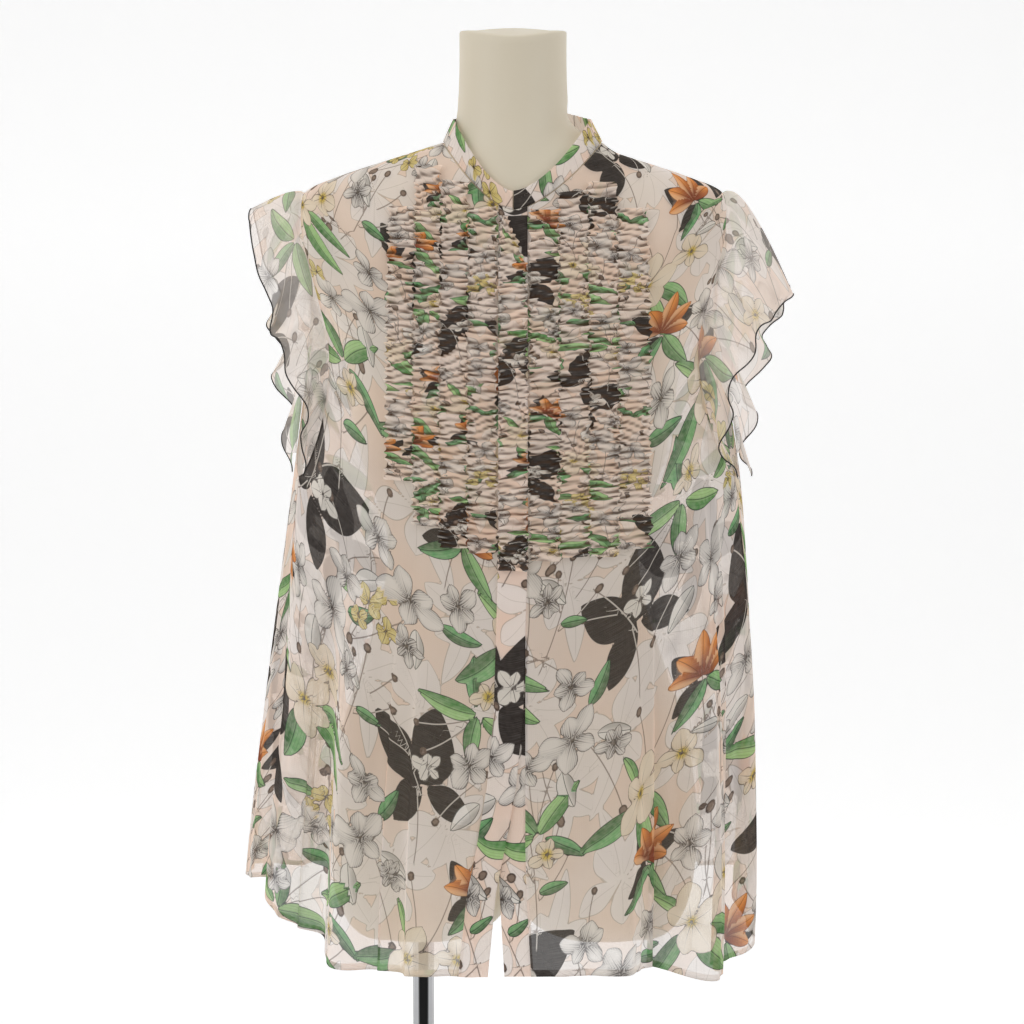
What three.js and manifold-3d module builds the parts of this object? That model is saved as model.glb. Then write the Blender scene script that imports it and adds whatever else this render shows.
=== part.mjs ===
// A worn blouse of sheer printed chiffon on a limbless display torso with a pole and a round foot plate.
// Units are millimetres, +Z is up, the wearer faces -Y, and the origin is the middle of the foot plate's underside.
// The blouse has two fronts, a back, a stand collar, a concealed button front, nine gathered ruffle strips that
// form a bib, and a tapered flutter flounce round each armhole. Every cloth piece is a thin wall of true shape.
import * as THREE from "three";
import { mergeVertices } from "three/addons/utils/BufferGeometryUtils.js";
import Module from "manifold-3d";

const wasm = await Module();
wasm.setup();

// Cloth sizes
const CLOTH = 1.0;
const SEAM_GAP = 0.5;
const REST_GAP = 1.5;
const BAND_SEAT = 1.6;
const ARM_CAP_SEAT = 2.4;
const SQUARENESS = 2.3;

// Rings of the blouse, from the neckline down to the hem. right and left are the wearer's half-widths,
// side, front and back are the heights of the ring there, and frontY and backY its reach in depth.
const CLOTH_RINGS = [
  { name: "neckline", right: 62, left: 79, side: 990, frontY: -76, front: 930, backY: 66, back: 1000, vee: 1.4 },
  { name: "collarbone", right: 90, left: 92, side: 981, frontY: -81, front: 921, backY: 76, back: 986, vee: 1.5 },
  { name: "mid shoulder", right: 122, left: 122, side: 971, frontY: -88, front: 908, backY: 85, back: 967, vee: 1.7 },
  { name: "outer shoulder", right: 155, left: 155, side: 960, frontY: -95, front: 893, backY: 92, back: 944, vee: 2 },
  { name: "shoulder point", right: 185, left: 186, side: 946, frontY: -104, front: 875, backY: 97, back: 918, vee: 2 },
  { name: "arm cap", right: 195, left: 196, side: 921, frontY: -112, front: 857, backY: 100, back: 890, vee: 2 },
  { name: "upper chest", right: 195, left: 196, side: 892, frontY: -120, front: 838, backY: 102, back: 862, vee: 2 },
  { name: "over bust", right: 191, left: 192, side: 860, frontY: -127, front: 819, backY: 104, back: 836, vee: 2 },
  { name: "high bust", right: 187, left: 188, side: 825, frontY: -132, front: 800, backY: 105, back: 812, vee: 2 },
  { name: "bust", right: 187, left: 190, side: 787, frontY: -135, front: 778, backY: 107, back: 784, vee: 2 },
  { name: "under bust", right: 190, left: 196, side: 744, frontY: -138, front: 742, backY: 110, back: 744, vee: 2 },
  { name: "underarm", right: 196, left: 203, side: 697, frontY: -142, front: 696, backY: 115, back: 696, vee: 2 },
  { name: "waist", right: 203, left: 209, side: 640, frontY: -148, front: 640, backY: 122, back: 640, vee: 2 },
  { name: "high hip", right: 210, left: 213, side: 580, frontY: -153, front: 578, backY: 130, back: 580, vee: 2.4 },
  { name: "hip", right: 217, left: 215, side: 515, frontY: -158, front: 510, backY: 139, back: 512, vee: 2.8 },
  { name: "low hip", right: 224, left: 214, side: 449, frontY: -162, front: 434, backY: 147, back: 440, vee: 3.2 },
  { name: "thigh", right: 231, left: 213, side: 385, frontY: -165, front: 356, backY: 154, back: 368, vee: 3.6 },
  { name: "hem", right: 237, left: 211, side: 326, frontY: -167, front: 277, backY: 160, back: 297, vee: 4 },
];
const SHOULDER_POINT = 4;
const UNDERARM = 11;
const HEM = 17;

// Soft folds that hang from the bust and shoulder blades. at is the place round the body in degrees, with -90 at the
// centre front, 0 at the wearer's left side and 90 at the centre back. out is the ridge's height at the hem (a valley
// is less than 0), lean how far it tips sideways over its neighbour, wide its half-width in degrees, and starts the
// height where it begins.
const FOLDS = [
  { at: -106, out: 7, lean: -3, wide: 6, starts: 690 },
  { at: -114, out: -7, lean: 0, wide: 6, starts: 650 },
  { at: -123, out: 20, lean: -6, wide: 8, starts: 760 },
  { at: -137, out: -22, lean: 0, wide: 7, starts: 720 },
  { at: -150, out: 6, lean: -4, wide: 7, starts: 700 },
  { at: -163, out: -14, lean: 0, wide: 7, starts: 700 },
  { at: -178, out: 6, lean: -5, wide: 8, starts: 740 },
  { at: 166, out: 15, lean: -6, wide: 10, starts: 760 },
  { at: 150, out: -16, lean: 0, wide: 8, starts: 740 },
  { at: 133, out: 19, lean: 6, wide: 9, starts: 810 },
  { at: 118, out: -13, lean: 0, wide: 7, starts: 760 },
  { at: 104, out: 15, lean: -4, wide: 8, starts: 720 },
  { at: 90, out: -11, lean: 0, wide: 7, starts: 700 },
  { at: 76, out: 17, lean: 5, wide: 8, starts: 780 },
  { at: 61, out: -14, lean: 0, wide: 7, starts: 720 },
  { at: 46, out: 20, lean: -6, wide: 9, starts: 810 },
  { at: 29, out: -16, lean: 0, wide: 8, starts: 750 },
  { at: 13, out: 14, lean: 5, wide: 9, starts: 760 },
  { at: -4, out: -12, lean: 0, wide: 7, starts: 700 },
  { at: -19, out: 13, lean: 6, wide: 7, starts: 730 },
  { at: -31, out: -13, lean: 0, wide: 6, starts: 700 },
  { at: -45, out: 24, lean: 8, wide: 8, starts: 790 },
  { at: -58, out: -15, lean: 0, wide: 7, starts: 700 },
  { at: -69, out: 12, lean: 8, wide: 7, starts: 640 },
];
// Where the hem hangs lower than its ring, or higher where down is less than 0.
const HEM_DIPS = [
  { at: -25, down: 40, wide: 29 },
  { at: -47, down: 9, wide: 9 },
  { at: -156, down: -22, wide: 24 },
];
const HEM_DIPS_START = 640;
const FOLD_FULL_BELOW = 330;

// Armhole: a lens cut out of the side. Its middle drifts forward from the shoulder point to the underarm.
const ARMHOLE = { halfAngle: 23, drift: -17 };

// Button front. over is the free edge of the lapped band, seam its sewn edge, under the hidden band's two edges.
const PLACKET_WIDTH = 25;
const PLACKET_PATH = [
  { z: 940, over: 0, under: 0 },
  { z: 640, over: 0, under: 0 },
  { z: 500, over: -4, under: 0 },
  { z: 440, over: -10, under: 0 },
  { z: 390, over: -19, under: 0 },
  { z: 350, over: -27, under: 1 },
  { z: 278, over: -34, under: 5 },
];
const LAYER_GAP = 0.4;
const BAND_LAP = 2;

// Gathered strips of the bib, each with its inner and outer edge and its bottom. A strip starts at the neckline
// unless top says otherwise.
const STRIP_WAVES = 14;
const STRIP_LIFT = 1.5;
const STRIP_SWELL = 3.2;
const STRIPS = [
  { name: "ruffle_right_1", inner: -14.5, outer: -38, bottom: 640 },
  { name: "ruffle_right_2", inner: -39, outer: -61.5, bottom: 644 },
  { name: "ruffle_right_3", inner: -62.5, outer: -84, bottom: 662, top: 966 },
  { name: "ruffle_right_4", inner: -85, outer: -107, bottom: 700, top: 932 },
  { name: "ruffle_left_1", inner: 14.5, outer: 39, bottom: 633 },
  { name: "ruffle_left_2", inner: 40, outer: 64, bottom: 636 },
  { name: "ruffle_left_3", inner: 65, outer: 89, bottom: 636, top: 952 },
  { name: "ruffle_left_4", inner: 90, outer: 116, bottom: 642, top: 930 },
];
// The lapped band's strip narrows at its top: above taperFrom its outer edge runs in by taper.
const PLACKET_STRIP = {
  name: "ruffle_placket", inner: -11.5, outer: 11.5, bottom: 625, top: 923, taper: 16, taperFrom: 882,
};

// Flounces: along 0 is the underarm, 0.5 the shoulder point, 1 the underarm again from behind.
// out, ahead and down place the free edge from the seam, and rise lifts the cloth before it falls.
const FLOUNCE_WAVES = 8.5;
const FLOUNCE_WAVE_HEIGHT = 11;
// Over the shoulder the flutes are calmer: by this share, at this place along, over this width.
const FLOUNCE_CALM = { by: 0.65, place: 0.45, wide: 0.14 };
const FLOUNCE_ROOT = 2;
const FLOUNCES = {
  flounce_left: [
    { along: 0, out: 7, ahead: 7, down: 16, rise: 3 },
    { along: 0.125, out: 18, ahead: 18, down: 34, rise: 8 },
    { along: 0.25, out: 36, ahead: 30, down: 30, rise: 14 },
    { along: 0.375, out: 43, ahead: 36, down: 48, rise: 18 },
    { along: 0.5, out: 62, ahead: 2, down: 78, rise: 20 },
    { along: 0.625, out: 55, ahead: -28, down: 60, rise: 20 },
    { along: 0.75, out: 42, ahead: -30, down: 52, rise: 14 },
    { along: 0.875, out: 22, ahead: -18, down: 46, rise: 10 },
    { along: 1, out: 8, ahead: -7, down: 18, rise: 3 },
  ],
  flounce_right: [
    { along: 0, out: 7, ahead: 7, down: 13, rise: 3 },
    { along: 0.125, out: 18, ahead: 16, down: 26, rise: 8 },
    { along: 0.25, out: 36, ahead: 26, down: 24, rise: 14 },
    { along: 0.375, out: 30, ahead: 36, down: 40, rise: 14 },
    { along: 0.5, out: 45, ahead: 10, down: 16, rise: 10 },
    { along: 0.625, out: 32, ahead: -32, down: 44, rise: 14 },
    { along: 0.75, out: 32, ahead: -32, down: 46, rise: 14 },
    { along: 0.875, out: 18, ahead: -20, down: 36, rise: 8 },
    { along: 1, out: 7, ahead: -7, down: 13, rise: 3 },
  ],
};

// Stand collar: it rises from the neckline and leans inwards.
const COLLAR = { height: 20, rightLean: -9, leftLean: -10, frontLean: 5, backLean: -4, backRise: 22, frontRise: 16 };

// Display torso, from the top of its neck down, where it isn't shaped by the cloth that lies on it.
const NECK_RINGS = [
  { name: "neck top", half: 47.5, side: 1086, frontY: -47.5, front: 1079, backY: 50, back: 1092 },
  { name: "upper neck", half: 47.5, side: 1058, frontY: -48.5, front: 1046, backY: 52, back: 1068 },
  { name: "mid neck", half: 48.5, side: 1030, frontY: -52, front: 1008, backY: 53, back: 1044 },
  { name: "neck base", half: 51, side: 1008, frontY: -62, front: 966, backY: 57, back: 1022 },
];
const TORSO_RINGS = [
  { name: "upper chest", ring: 6, half: 189, frontY: -116, backY: 98 },
  { name: "over bust", ring: 7, half: 175, frontY: -122, backY: 98 },
  { name: "high bust", ring: 8, half: 158, frontY: -126, backY: 97 },
  { name: "bust", ring: 9, half: 148, frontY: -127, backY: 94 },
  { name: "under bust", ring: 10, half: 143, frontY: -120, backY: 88 },
  { name: "rib cage", ring: 11, half: 132, frontY: -106, backY: 81 },
  { name: "waist", ring: 12, half: 113, frontY: -91, backY: 76 },
  { name: "high hip", ring: 13, half: 119, frontY: -93, backY: 84 },
  { name: "belly", ring: 14, half: 139, frontY: -102, backY: 101 },
  { name: "hip", ring: 15, half: 159, frontY: -106, backY: 113 },
  { name: "low hip", ring: 16, half: 167, frontY: -104, backY: 114 },
];
const TORSO_FLOOR = { z: 334, half: 165, frontY: -98, backY: 106, lobe: 62 };
const TORSO_SHAPED_BY_CLOTH = 5;

// Stand
const POLE = { x: -82, y: 4, radius: 9.5, foot: 8.4, top: 430, sides: 24 };
const PLATE = { radius: 170, thick: 8, bevel: 2, sides: 48 };
const BOSS = { radius: 17, height: 34, fit: 0.35, seat: 0.3 };

const DEG = Math.PI / 180;
const smooth = (t) => {
  const c = Math.min(1, Math.max(0, t));
  return c * c * (3 - 2 * c);
};
const mix = (a, b, t) => a + (b - a) * t;

// A value read from a table by a smooth curve through its rows; at counts rows.
function column(rows, key, at) {
  const last = rows.length - 1;
  const i = Math.min(last - 1, Math.max(0, Math.floor(at)));
  const f = at - i;
  const b = rows[i][key];
  const c = rows[i + 1][key];
  const a = i > 0 ? rows[i - 1][key] : 2 * b - c;
  const d = i + 2 <= last ? rows[i + 2][key] : 2 * c - b;
  const slopeB = (c - a) / 2;
  const slopeC = (d - b) / 2;
  return (
    b * (1 + 2 * f) * (1 - f) ** 2 + slopeB * f * (1 - f) ** 2 + c * f * f * (3 - 2 * f) - slopeC * f * f * (1 - f)
  );
}

// A value read from a table whose rows are placed by one of their own columns, with straight lines between them.
function lookUp(rows, place, key, at) {
  const up = rows[0][place] < rows[rows.length - 1][place];
  let i = 0;
  while (i < rows.length - 2 && (up ? at > rows[i + 1][place] : at < rows[i + 1][place])) i += 1;
  const t = (at - rows[i][place]) / (rows[i + 1][place] - rows[i][place]);
  return mix(rows[i][key], rows[i + 1][key], Math.min(1, Math.max(0, t)));
}

// One point of a ring: a rounded rectangle in plan whose height runs from its front or back to its side.
function ringPoint(ring, degrees, squareness) {
  const c = Math.cos(degrees * DEG);
  const s = Math.sin(degrees * DEG);
  const across = Math.abs(c) ** (2 / squareness);
  const deep = Math.abs(s) ** (2 / squareness);
  const half = c < 0 ? -ring.right : ring.left;
  const ahead = s < 0;
  const end = ahead ? ring.front : ring.back;
  return new THREE.Vector3(
    half * across,
    (ahead ? ring.frontY : ring.backY) * deep,
    end + (ring.side - end) * Math.abs(c) ** (ahead ? ring.vee : 2),
  );
}

const RING_KEYS = ["right", "left", "side", "frontY", "front", "backY", "back", "vee"];
function clothRing(at) {
  return Object.fromEntries(RING_KEYS.map((key) => [key, column(CLOTH_RINGS, key, at)]));
}

const turnBetween = (a, b) => ((a - b + 540) % 360) - 180;

// The cloth's own surface: a ring point pushed out at the fold ridges and in between them.
function cloth(degrees, at) {
  const ring = clothRing(at);
  const p = ringPoint(ring, degrees, SQUARENESS);
  const half = Math.cos(degrees * DEG) < 0 ? ring.right : ring.left;
  const deep = Math.abs(Math.sin(degrees * DEG) < 0 ? ring.frontY : ring.backY);
  const out = new THREE.Vector3(p.x / half ** 2, p.y / deep ** 2, 0).normalize();
  const along = new THREE.Vector3(-out.y, out.x, 0);
  let push = 0;
  let lean = 0;
  for (const fold of FOLDS) {
    const reach = smooth((fold.starts - p.z) / (fold.starts - FOLD_FULL_BELOW));
    const ridge = Math.exp(-((turnBetween(degrees, fold.at) / fold.wide) ** 2) * 2);
    push += fold.out * reach * ridge;
    lean += fold.lean * reach * ridge;
  }
  const dipReach = smooth((HEM_DIPS_START - p.z) / (HEM_DIPS_START - FOLD_FULL_BELOW));
  for (const dip of HEM_DIPS) p.z -= dip.down * dipReach * Math.exp(-((turnBetween(degrees, dip.at) / dip.wide) ** 2) * 2);
  return p.addScaledVector(out, push).addScaledVector(along, lean);
}

// The way out of the cloth, square to its surface.
function clothNormal(degrees, at) {
  const turn = cloth(degrees + 0.5, at).sub(cloth(degrees - 0.5, at));
  const down = cloth(degrees, at + 0.02).sub(cloth(degrees, at - 0.02));
  return down.cross(turn).normalize();
}

// The armhole's two edges, in degrees on the wearer's left side.
function armholeEdges(at) {
  const t = (at - SHOULDER_POINT) / (UNDERARM - SHOULDER_POINT);
  if (t <= 0) return [0, 0];
  const middle = ARMHOLE.drift * smooth(t);
  if (t >= 1) return [middle, middle];
  const open = ARMHOLE.halfAngle * Math.min(1, Math.sqrt(Math.sin(Math.PI * t ** 0.8)) * 1.02);
  return [middle - open, middle + open];
}

// The place round the ring, in degrees, where the front has a given x.
function degreesAtX(x, at) {
  const half = x < 0 ? column(CLOTH_RINGS, "right", at) : column(CLOTH_RINGS, "left", at);
  const c = Math.min(1, Math.abs(x) / half) ** (SQUARENESS / 2);
  const turn = Math.acos(c) / DEG;
  return x < 0 ? turn - 180 : -turn;
}

// The front's point at a given x and height, found by halving the span of rings.
function frontAt(x, z) {
  let low = 0;
  let high = HEM;
  const half = (at) => (x < 0 ? column(CLOTH_RINGS, "right", at) : column(CLOTH_RINGS, "left", at));
  while (low < 5 && half(low) < Math.abs(x)) low += 0.05;
  for (let i = 0; i < 40; i += 1) {
    const mid = (low + high) / 2;
    if (cloth(degreesAtX(x, mid), mid).z > z) low = mid;
    else high = mid;
  }
  return cloth(degreesAtX(x, low), low);
}

// The front's point at x and z, moved out from the cloth along its normal.
function onFront(x, z, lift) {
  const step = 0.8;
  const across = frontAt(x + step, z).sub(frontAt(x - step, z));
  const up = frontAt(x, z + step).sub(frontAt(x, z - step));
  return frontAt(x, z).addScaledVector(across.cross(up).normalize(), lift);
}

// A closed wall over a grid of points. pointAt takes two shares from 0 to 1 and gives the outer face; the inner face
// lies a wall's thickness behind it along the surface's own normal. Both faces meet the next piece's at a seam,
// because the normal is taken from points on either side of the edge. They are split along the same diagonals.
const NORMAL_STEP = 0.004;
function wall(pointAt, columns, rows, thick, facing) {
  const grid = [];
  const inner = [];
  for (let j = 0; j <= rows; j += 1) {
    for (let i = 0; i <= columns; i += 1) {
      const [u, v] = [i / columns, j / rows];
      const p = pointAt(u, v);
      const across = pointAt(u + NORMAL_STEP, v).sub(pointAt(u - NORMAL_STEP, v));
      const down = pointAt(u, v + NORMAL_STEP).sub(pointAt(u, v - NORMAL_STEP));
      grid.push(p);
      inner.push(p.clone().addScaledVector(across.cross(down).normalize(), -thick * facing));
    }
  }
  const wide = columns + 1;
  const count = grid.length;
  const faces = [];
  const quad = (a, b, c, d) => faces.push(a, b, c, a, c, d);
  for (let j = 0; j < rows; j += 1) {
    for (let i = 0; i < columns; i += 1) {
      const k = j * wide + i;
      quad(k, k + 1, k + 1 + wide, k + wide);
      quad(count + k, count + k + wide, count + k + 1 + wide, count + k + 1);
    }
  }
  const rim = [];
  for (let i = 0; i < columns; i += 1) rim.push(i);
  for (let j = 0; j < rows; j += 1) rim.push(j * wide + columns);
  for (let i = columns; i > 0; i -= 1) rim.push(rows * wide + i);
  for (let j = rows; j > 0; j -= 1) rim.push(j * wide);
  rim.forEach((a, n) => {
    const b = rim[(n + 1) % rim.length];
    quad(b, a, count + a, count + b);
  });
  return closed([...grid, ...inner], faces);
}

// A buffer geometry from points and faces, turned so that its faces point out.
function closed(points, faces) {
  const volume = faces.reduce((sum, _, n) => {
    if (n % 3) return sum;
    const [a, b, c] = [points[faces[n]], points[faces[n + 1]], points[faces[n + 2]]];
    return sum + a.dot(b.clone().cross(c)) / 6;
  }, 0);
  const turned = volume < 0 ? faces.map((_, n) => faces[n - (n % 3) + 2 - (n % 3)]) : faces;
  const geometry = new THREE.BufferGeometry().setFromPoints(points).setIndex(turned);
  geometry.computeVertexNormals();
  return geometry;
}

// Joins and cuts with manifold solids.
function solidOf(geometry) {
  const bare = new THREE.BufferGeometry().setAttribute("position", geometry.getAttribute("position"));
  bare.setIndex(geometry.index);
  const merged = mergeVertices(bare, 1e-4);
  return new wasm.Manifold(
    new wasm.Mesh({
      numProp: 3,
      vertProperties: merged.attributes.position.array,
      triVerts: new Uint32Array(merged.index.array),
    }),
  );
}
function geometryOf(solid) {
  const mesh = solid.getMesh();
  const geometry = new THREE.BufferGeometry();
  geometry.setAttribute("position", new THREE.BufferAttribute(new Float32Array(mesh.vertProperties), 3));
  geometry.setIndex(new THREE.BufferAttribute(new Uint32Array(mesh.triVerts), 1));
  geometry.computeVertexNormals();
  return geometry;
}

// Materials
const material = (name, color, roughness, metalness) =>
  new THREE.MeshStandardMaterial({ name, color, roughness, metalness });
const CHIFFON = material("printed chiffon", 0xe3cfc3, 0.85, 0);
const RUFFLE = material("gathered chiffon", 0xe6d3c6, 0.85, 0);
const TORSO = material("cream torso", 0xe6e0d0, 0.55, 0);
const STEEL = material("polished steel", 0xb9bcc0, 0.18, 1);

const part = new THREE.Group();
function add(name, geometry, finish) {
  const mesh = new THREE.Mesh(geometry, finish);
  mesh.name = name;
  part.add(mesh);
}

// Body panels
const PANEL_ROWS = 18;
const FRONT_COLUMNS = 24;
const BACK_COLUMNS = 34;
const bandMiddle = (z, key) => lookUp(PLACKET_PATH, "z", key, z);

// The front edge of each front panel, in degrees: under the lapped band on the right, over the hidden one on the left.
function frontEdge(at, right) {
  const z = column(CLOTH_RINGS, "front", at);
  const reach = PLACKET_WIDTH / 2 - BAND_LAP;
  return right ? degreesAtX(bandMiddle(z, "over") - reach, at) : degreesAtX(bandMiddle(z, "under") + reach, at);
}
const ringAt = (v) => mix(0.03, HEM, v);
const inset = (at) => SEAM_GAP / 2 / column(CLOTH_RINGS, "left", at) / DEG;

function frontPanel(right) {
  const point = (u, v) => {
    const at = ringAt(v);
    const outer = armholeEdges(at)[0] - inset(at);
    const edge = frontEdge(at, right);
    return cloth(mix(edge, right ? -180 - outer : outer, u), at);
  };
  return wall(point, FRONT_COLUMNS, PANEL_ROWS, CLOTH, right ? -1 : 1);
}
add("front_right", frontPanel(true), CHIFFON);
add("front_left", frontPanel(false), CHIFFON);
add(
  "back",
  wall(
    (u, v) => {
      const at = ringAt(v);
      const edge = armholeEdges(at)[1] + inset(at);
      return cloth(mix(edge, 180 - edge, u), at);
    },
    BACK_COLUMNS,
    PANEL_ROWS,
    CLOTH,
    1,
  ),
  CHIFFON,
);

// Button front: the lapped band and the hidden band behind it.
const band = (key, lift) =>
  wall(
    (u, v) => {
      const at = ringAt(v);
      const x = bandMiddle(column(CLOTH_RINGS, "front", at), key) + mix(-0.5, 0.5, u) * PLACKET_WIDTH;
      const degrees = degreesAtX(x, at);
      return cloth(degrees, at).addScaledVector(clothNormal(degrees, at), lift);
    },
    2,
    PANEL_ROWS,
    CLOTH,
    1,
  );
add("placket_overlap", band("over", CLOTH + LAYER_GAP), CHIFFON);
add("placket_underlap", band("under", -CLOTH - LAYER_GAP), CHIFFON);

// Bib: gathered strips that lie on the fronts and on the lapped band.
const STEPS_A_WAVE = 4;
function stripTop(x) {
  let low = 0;
  while (column(CLOTH_RINGS, "left", low) < Math.abs(x) && low < 3) low += 0.02;
  return cloth(degreesAtX(x, low), low).z - (low > 0 ? 14 : 5);
}
function strip(row, lift) {
  const top = row.top ?? Math.min(stripTop(row.inner), stripTop(row.outer));
  const waveHeight = (u, v) => {
    const turn = 2 * Math.PI * (STRIP_WAVES * v + 0.18 * u);
    return STRIP_SWELL * (0.5 + 0.5 * Math.sin(turn));
  };
  return wall(
    (u, v) => {
      const z = mix(top, row.bottom, v);
      const outer = row.taper ? row.outer - row.taper * Math.max(0, (z - row.taperFrom) / (top - row.taperFrom)) : row.outer;
      const middle = row === PLACKET_STRIP ? bandMiddle(z, "over") : 0;
      return onFront(mix(row.inner, outer, u) + middle, z, lift + waveHeight(u, v));
    },
    1,
    STRIP_WAVES * STEPS_A_WAVE,
    CLOTH * 0.8,
    row.outer > row.inner ? 1 : -1,
  );
}
STRIPS.forEach((row) => add(row.name, strip(row, STRIP_LIFT), RUFFLE));
add(PLACKET_STRIP.name, strip(PLACKET_STRIP, STRIP_LIFT + CLOTH + LAYER_GAP), RUFFLE);

// Collar band round the neckline, open at the centre front where the button front closes.
const COLLAR_COLUMNS = 36;
add(
  "collar",
  wall(
    (u, v) => {
      const degrees = mix(-90 + 1.5, 270 - 1.5, u);
      const foot = ringPoint(clothRing(0), degrees, SQUARENESS);
      const c = Math.cos(degrees * DEG);
      const s = Math.sin(degrees * DEG);
      const rise = s < 0 ? mix(COLLAR.frontRise, COLLAR.height, c * c) : mix(COLLAR.backRise, COLLAR.height, c * c);
      foot.z += 0.8 + rise * v;
      foot.x += (c < 0 ? COLLAR.rightLean : COLLAR.leftLean) * c * v;
      foot.y += (s < 0 ? COLLAR.frontLean * -s : COLLAR.backLean * s) * v;
      return foot;
    },
    COLLAR_COLUMNS,
    2,
    CLOTH,
    1,
  ),
  CHIFFON,
);

// Flounces: each follows its armhole from the underarm over the shoulder and back, and tapers at both ends.
const FLOUNCE_STEPS = 66;
const FLOUNCE_ROWS = 3;
function seamPoint(along, side) {
  const ahead = along < 0.5;
  const t = ahead ? along * 2 : (1 - along) * 2;
  const at = mix(UNDERARM - 0.1, SHOULDER_POINT + 0.05, t);
  const edges = armholeEdges(at);
  const turn = ahead ? edges[0] + inset(at) * 7 : edges[1] - inset(at) * 7;
  const degrees = side > 0 ? turn : 180 - turn;
  return { place: cloth(degrees, at), normal: clothNormal(degrees, at) };
}
function flounce(rows, side) {
  const last = rows.length - 1;
  return wall(
    (u, v) => {
      const along = mix(0.02, 0.98, u);
      const { place: seam, normal } = seamPoint(along, side);
      const read = (key) => column(rows, key, along * last);
      const root = seam.clone().addScaledVector(normal, FLOUNCE_ROOT);
      const edge = seam.clone().add(new THREE.Vector3(side * read("out"), -read("ahead"), -read("down")));
      const lift = seam.clone().addScaledVector(normal, read("rise") + FLOUNCE_ROOT);
      const p = root
        .multiplyScalar((1 - v) ** 2)
        .addScaledVector(lift, 2 * v * (1 - v))
        .addScaledVector(edge, v * v);
      const fall = edge.clone().sub(seam).normalize();
      const next = seamPoint(along + 0.02, side).place.sub(seamPoint(along - 0.02, side).place);
      const across = next.cross(fall).normalize();
      const full = Math.min(1, edge.distanceTo(seam) / 60);
      const calm = 1 - FLOUNCE_CALM.by * Math.exp(-(((along - FLOUNCE_CALM.place) / FLOUNCE_CALM.wide) ** 2));
      const wave = calm * Math.sin(2 * Math.PI * FLOUNCE_WAVES * along + 0.6 * Math.sin(5 * along));
      return p.addScaledVector(across, FLOUNCE_WAVE_HEIGHT * full * wave * v * Math.abs(v));
    },
    FLOUNCE_STEPS,
    FLOUNCE_ROWS,
    CLOTH,
    side,
  );
}
add("flounce_left", flounce(FLOUNCES.flounce_left, 1), CHIFFON);
add("flounce_right", flounce(FLOUNCES.flounce_right, -1), CHIFFON);

// Display torso: it follows the cloth's inside over the shoulders, and its own sizes elsewhere.
const TORSO_SIDES = 36;
function torsoPoint(degrees, at) {
  const own = () => {
    const k = at - TORSO_RINGS[0].ring;
    const half = column(TORSO_RINGS, "half", k);
    const ring = { ...clothRing(at), right: half, left: half };
    ring.frontY = column(TORSO_RINGS, "frontY", k);
    ring.backY = column(TORSO_RINGS, "backY", k);
    return ringPoint(ring, degrees, SQUARENESS);
  };
  const underCloth = () => {
    const p = cloth(degrees, at);
    const seat = CLOTH + REST_GAP + Math.max(0, at - 3) * ARM_CAP_SEAT + BAND_SEAT * Math.exp(-((p.x / PLACKET_WIDTH) ** 2) * 2) * (p.y < 0);
    return p.addScaledVector(clothNormal(degrees, at), -seat);
  };
  if (at <= TORSO_SHAPED_BY_CLOTH) return underCloth();
  return own();
}
function torso() {
  const rings = [];
  NECK_RINGS.forEach((row) => {
    const ring = { ...row, right: row.half, left: row.half, vee: 1.6 };
    rings.push((d) => ringPoint(ring, d, 2));
  });
  for (let at = 0; at <= 16; at += 1) rings.push((d) => torsoPoint(d, at));
  const floor = { right: TORSO_FLOOR.half, left: TORSO_FLOOR.half, frontY: TORSO_FLOOR.frontY, backY: TORSO_FLOOR.backY };
  Object.assign(floor, { side: TORSO_FLOOR.z, front: TORSO_FLOOR.z, back: TORSO_FLOOR.z, vee: 2 });
  rings.push((d) => ringPoint(floor, d, SQUARENESS));
  // Two short rounded lobes under the floor ring, with a notch between them.
  const lobeRing = (share) => (d) => {
    const p = ringPoint(floor, d, SQUARENESS);
    p.x *= share;
    p.y *= share;
    const side = (Math.abs(p.x) - floor.left / 2) / (floor.left / 2);
    const deep = p.y / (p.y < 0 ? floor.frontY : floor.backY);
    const round = Math.max(0, 1 - Math.abs(side) ** 2.6) * Math.max(0, 1 - Math.abs(deep) ** 2.6);
    p.z -= TORSO_FLOOR.lobe * Math.sqrt(round);
    return p;
  };
  [0.96, 0.86, 0.7, 0.5, 0.3, 0.12].forEach((share) => rings.push(lobeRing(share)));
  const points = [];
  rings.forEach((ring) => {
    for (let i = 0; i < TORSO_SIDES; i += 1) points.push(ring((i * 360) / TORSO_SIDES - 180));
  });
  const faces = [];
  for (let j = 0; j < rings.length - 1; j += 1) {
    for (let i = 0; i < TORSO_SIDES; i += 1) {
      const a = j * TORSO_SIDES + i;
      const b = j * TORSO_SIDES + ((i + 1) % TORSO_SIDES);
      faces.push(a, b, b + TORSO_SIDES, a, b + TORSO_SIDES, a + TORSO_SIDES);
    }
  }
  const crown = points.length;
  points.push(new THREE.Vector3(0, 0, (NECK_RINGS[0].front + NECK_RINGS[0].back) / 2));
  points.push(new THREE.Vector3(0, 0, TORSO_FLOOR.z));
  const lastRing = (rings.length - 1) * TORSO_SIDES;
  for (let i = 0; i < TORSO_SIDES; i += 1) {
    const next = (i + 1) % TORSO_SIDES;
    faces.push(crown, next, i);
    faces.push(crown + 1, lastRing + i, lastRing + next);
  }
  return closed(points, faces);
}
const bar = (radius, low, high) =>
  new THREE.CylinderGeometry(radius, radius, high - low, POLE.sides)
    .rotateX(Math.PI / 2)
    .translate(POLE.x, POLE.y, (low + high) / 2);
const socket = bar(POLE.radius + BOSS.fit, 200, POLE.top + BOSS.fit);
add("torso", geometryOf(solidOf(torso()).subtract(solidOf(socket))), TORSO);

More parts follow.
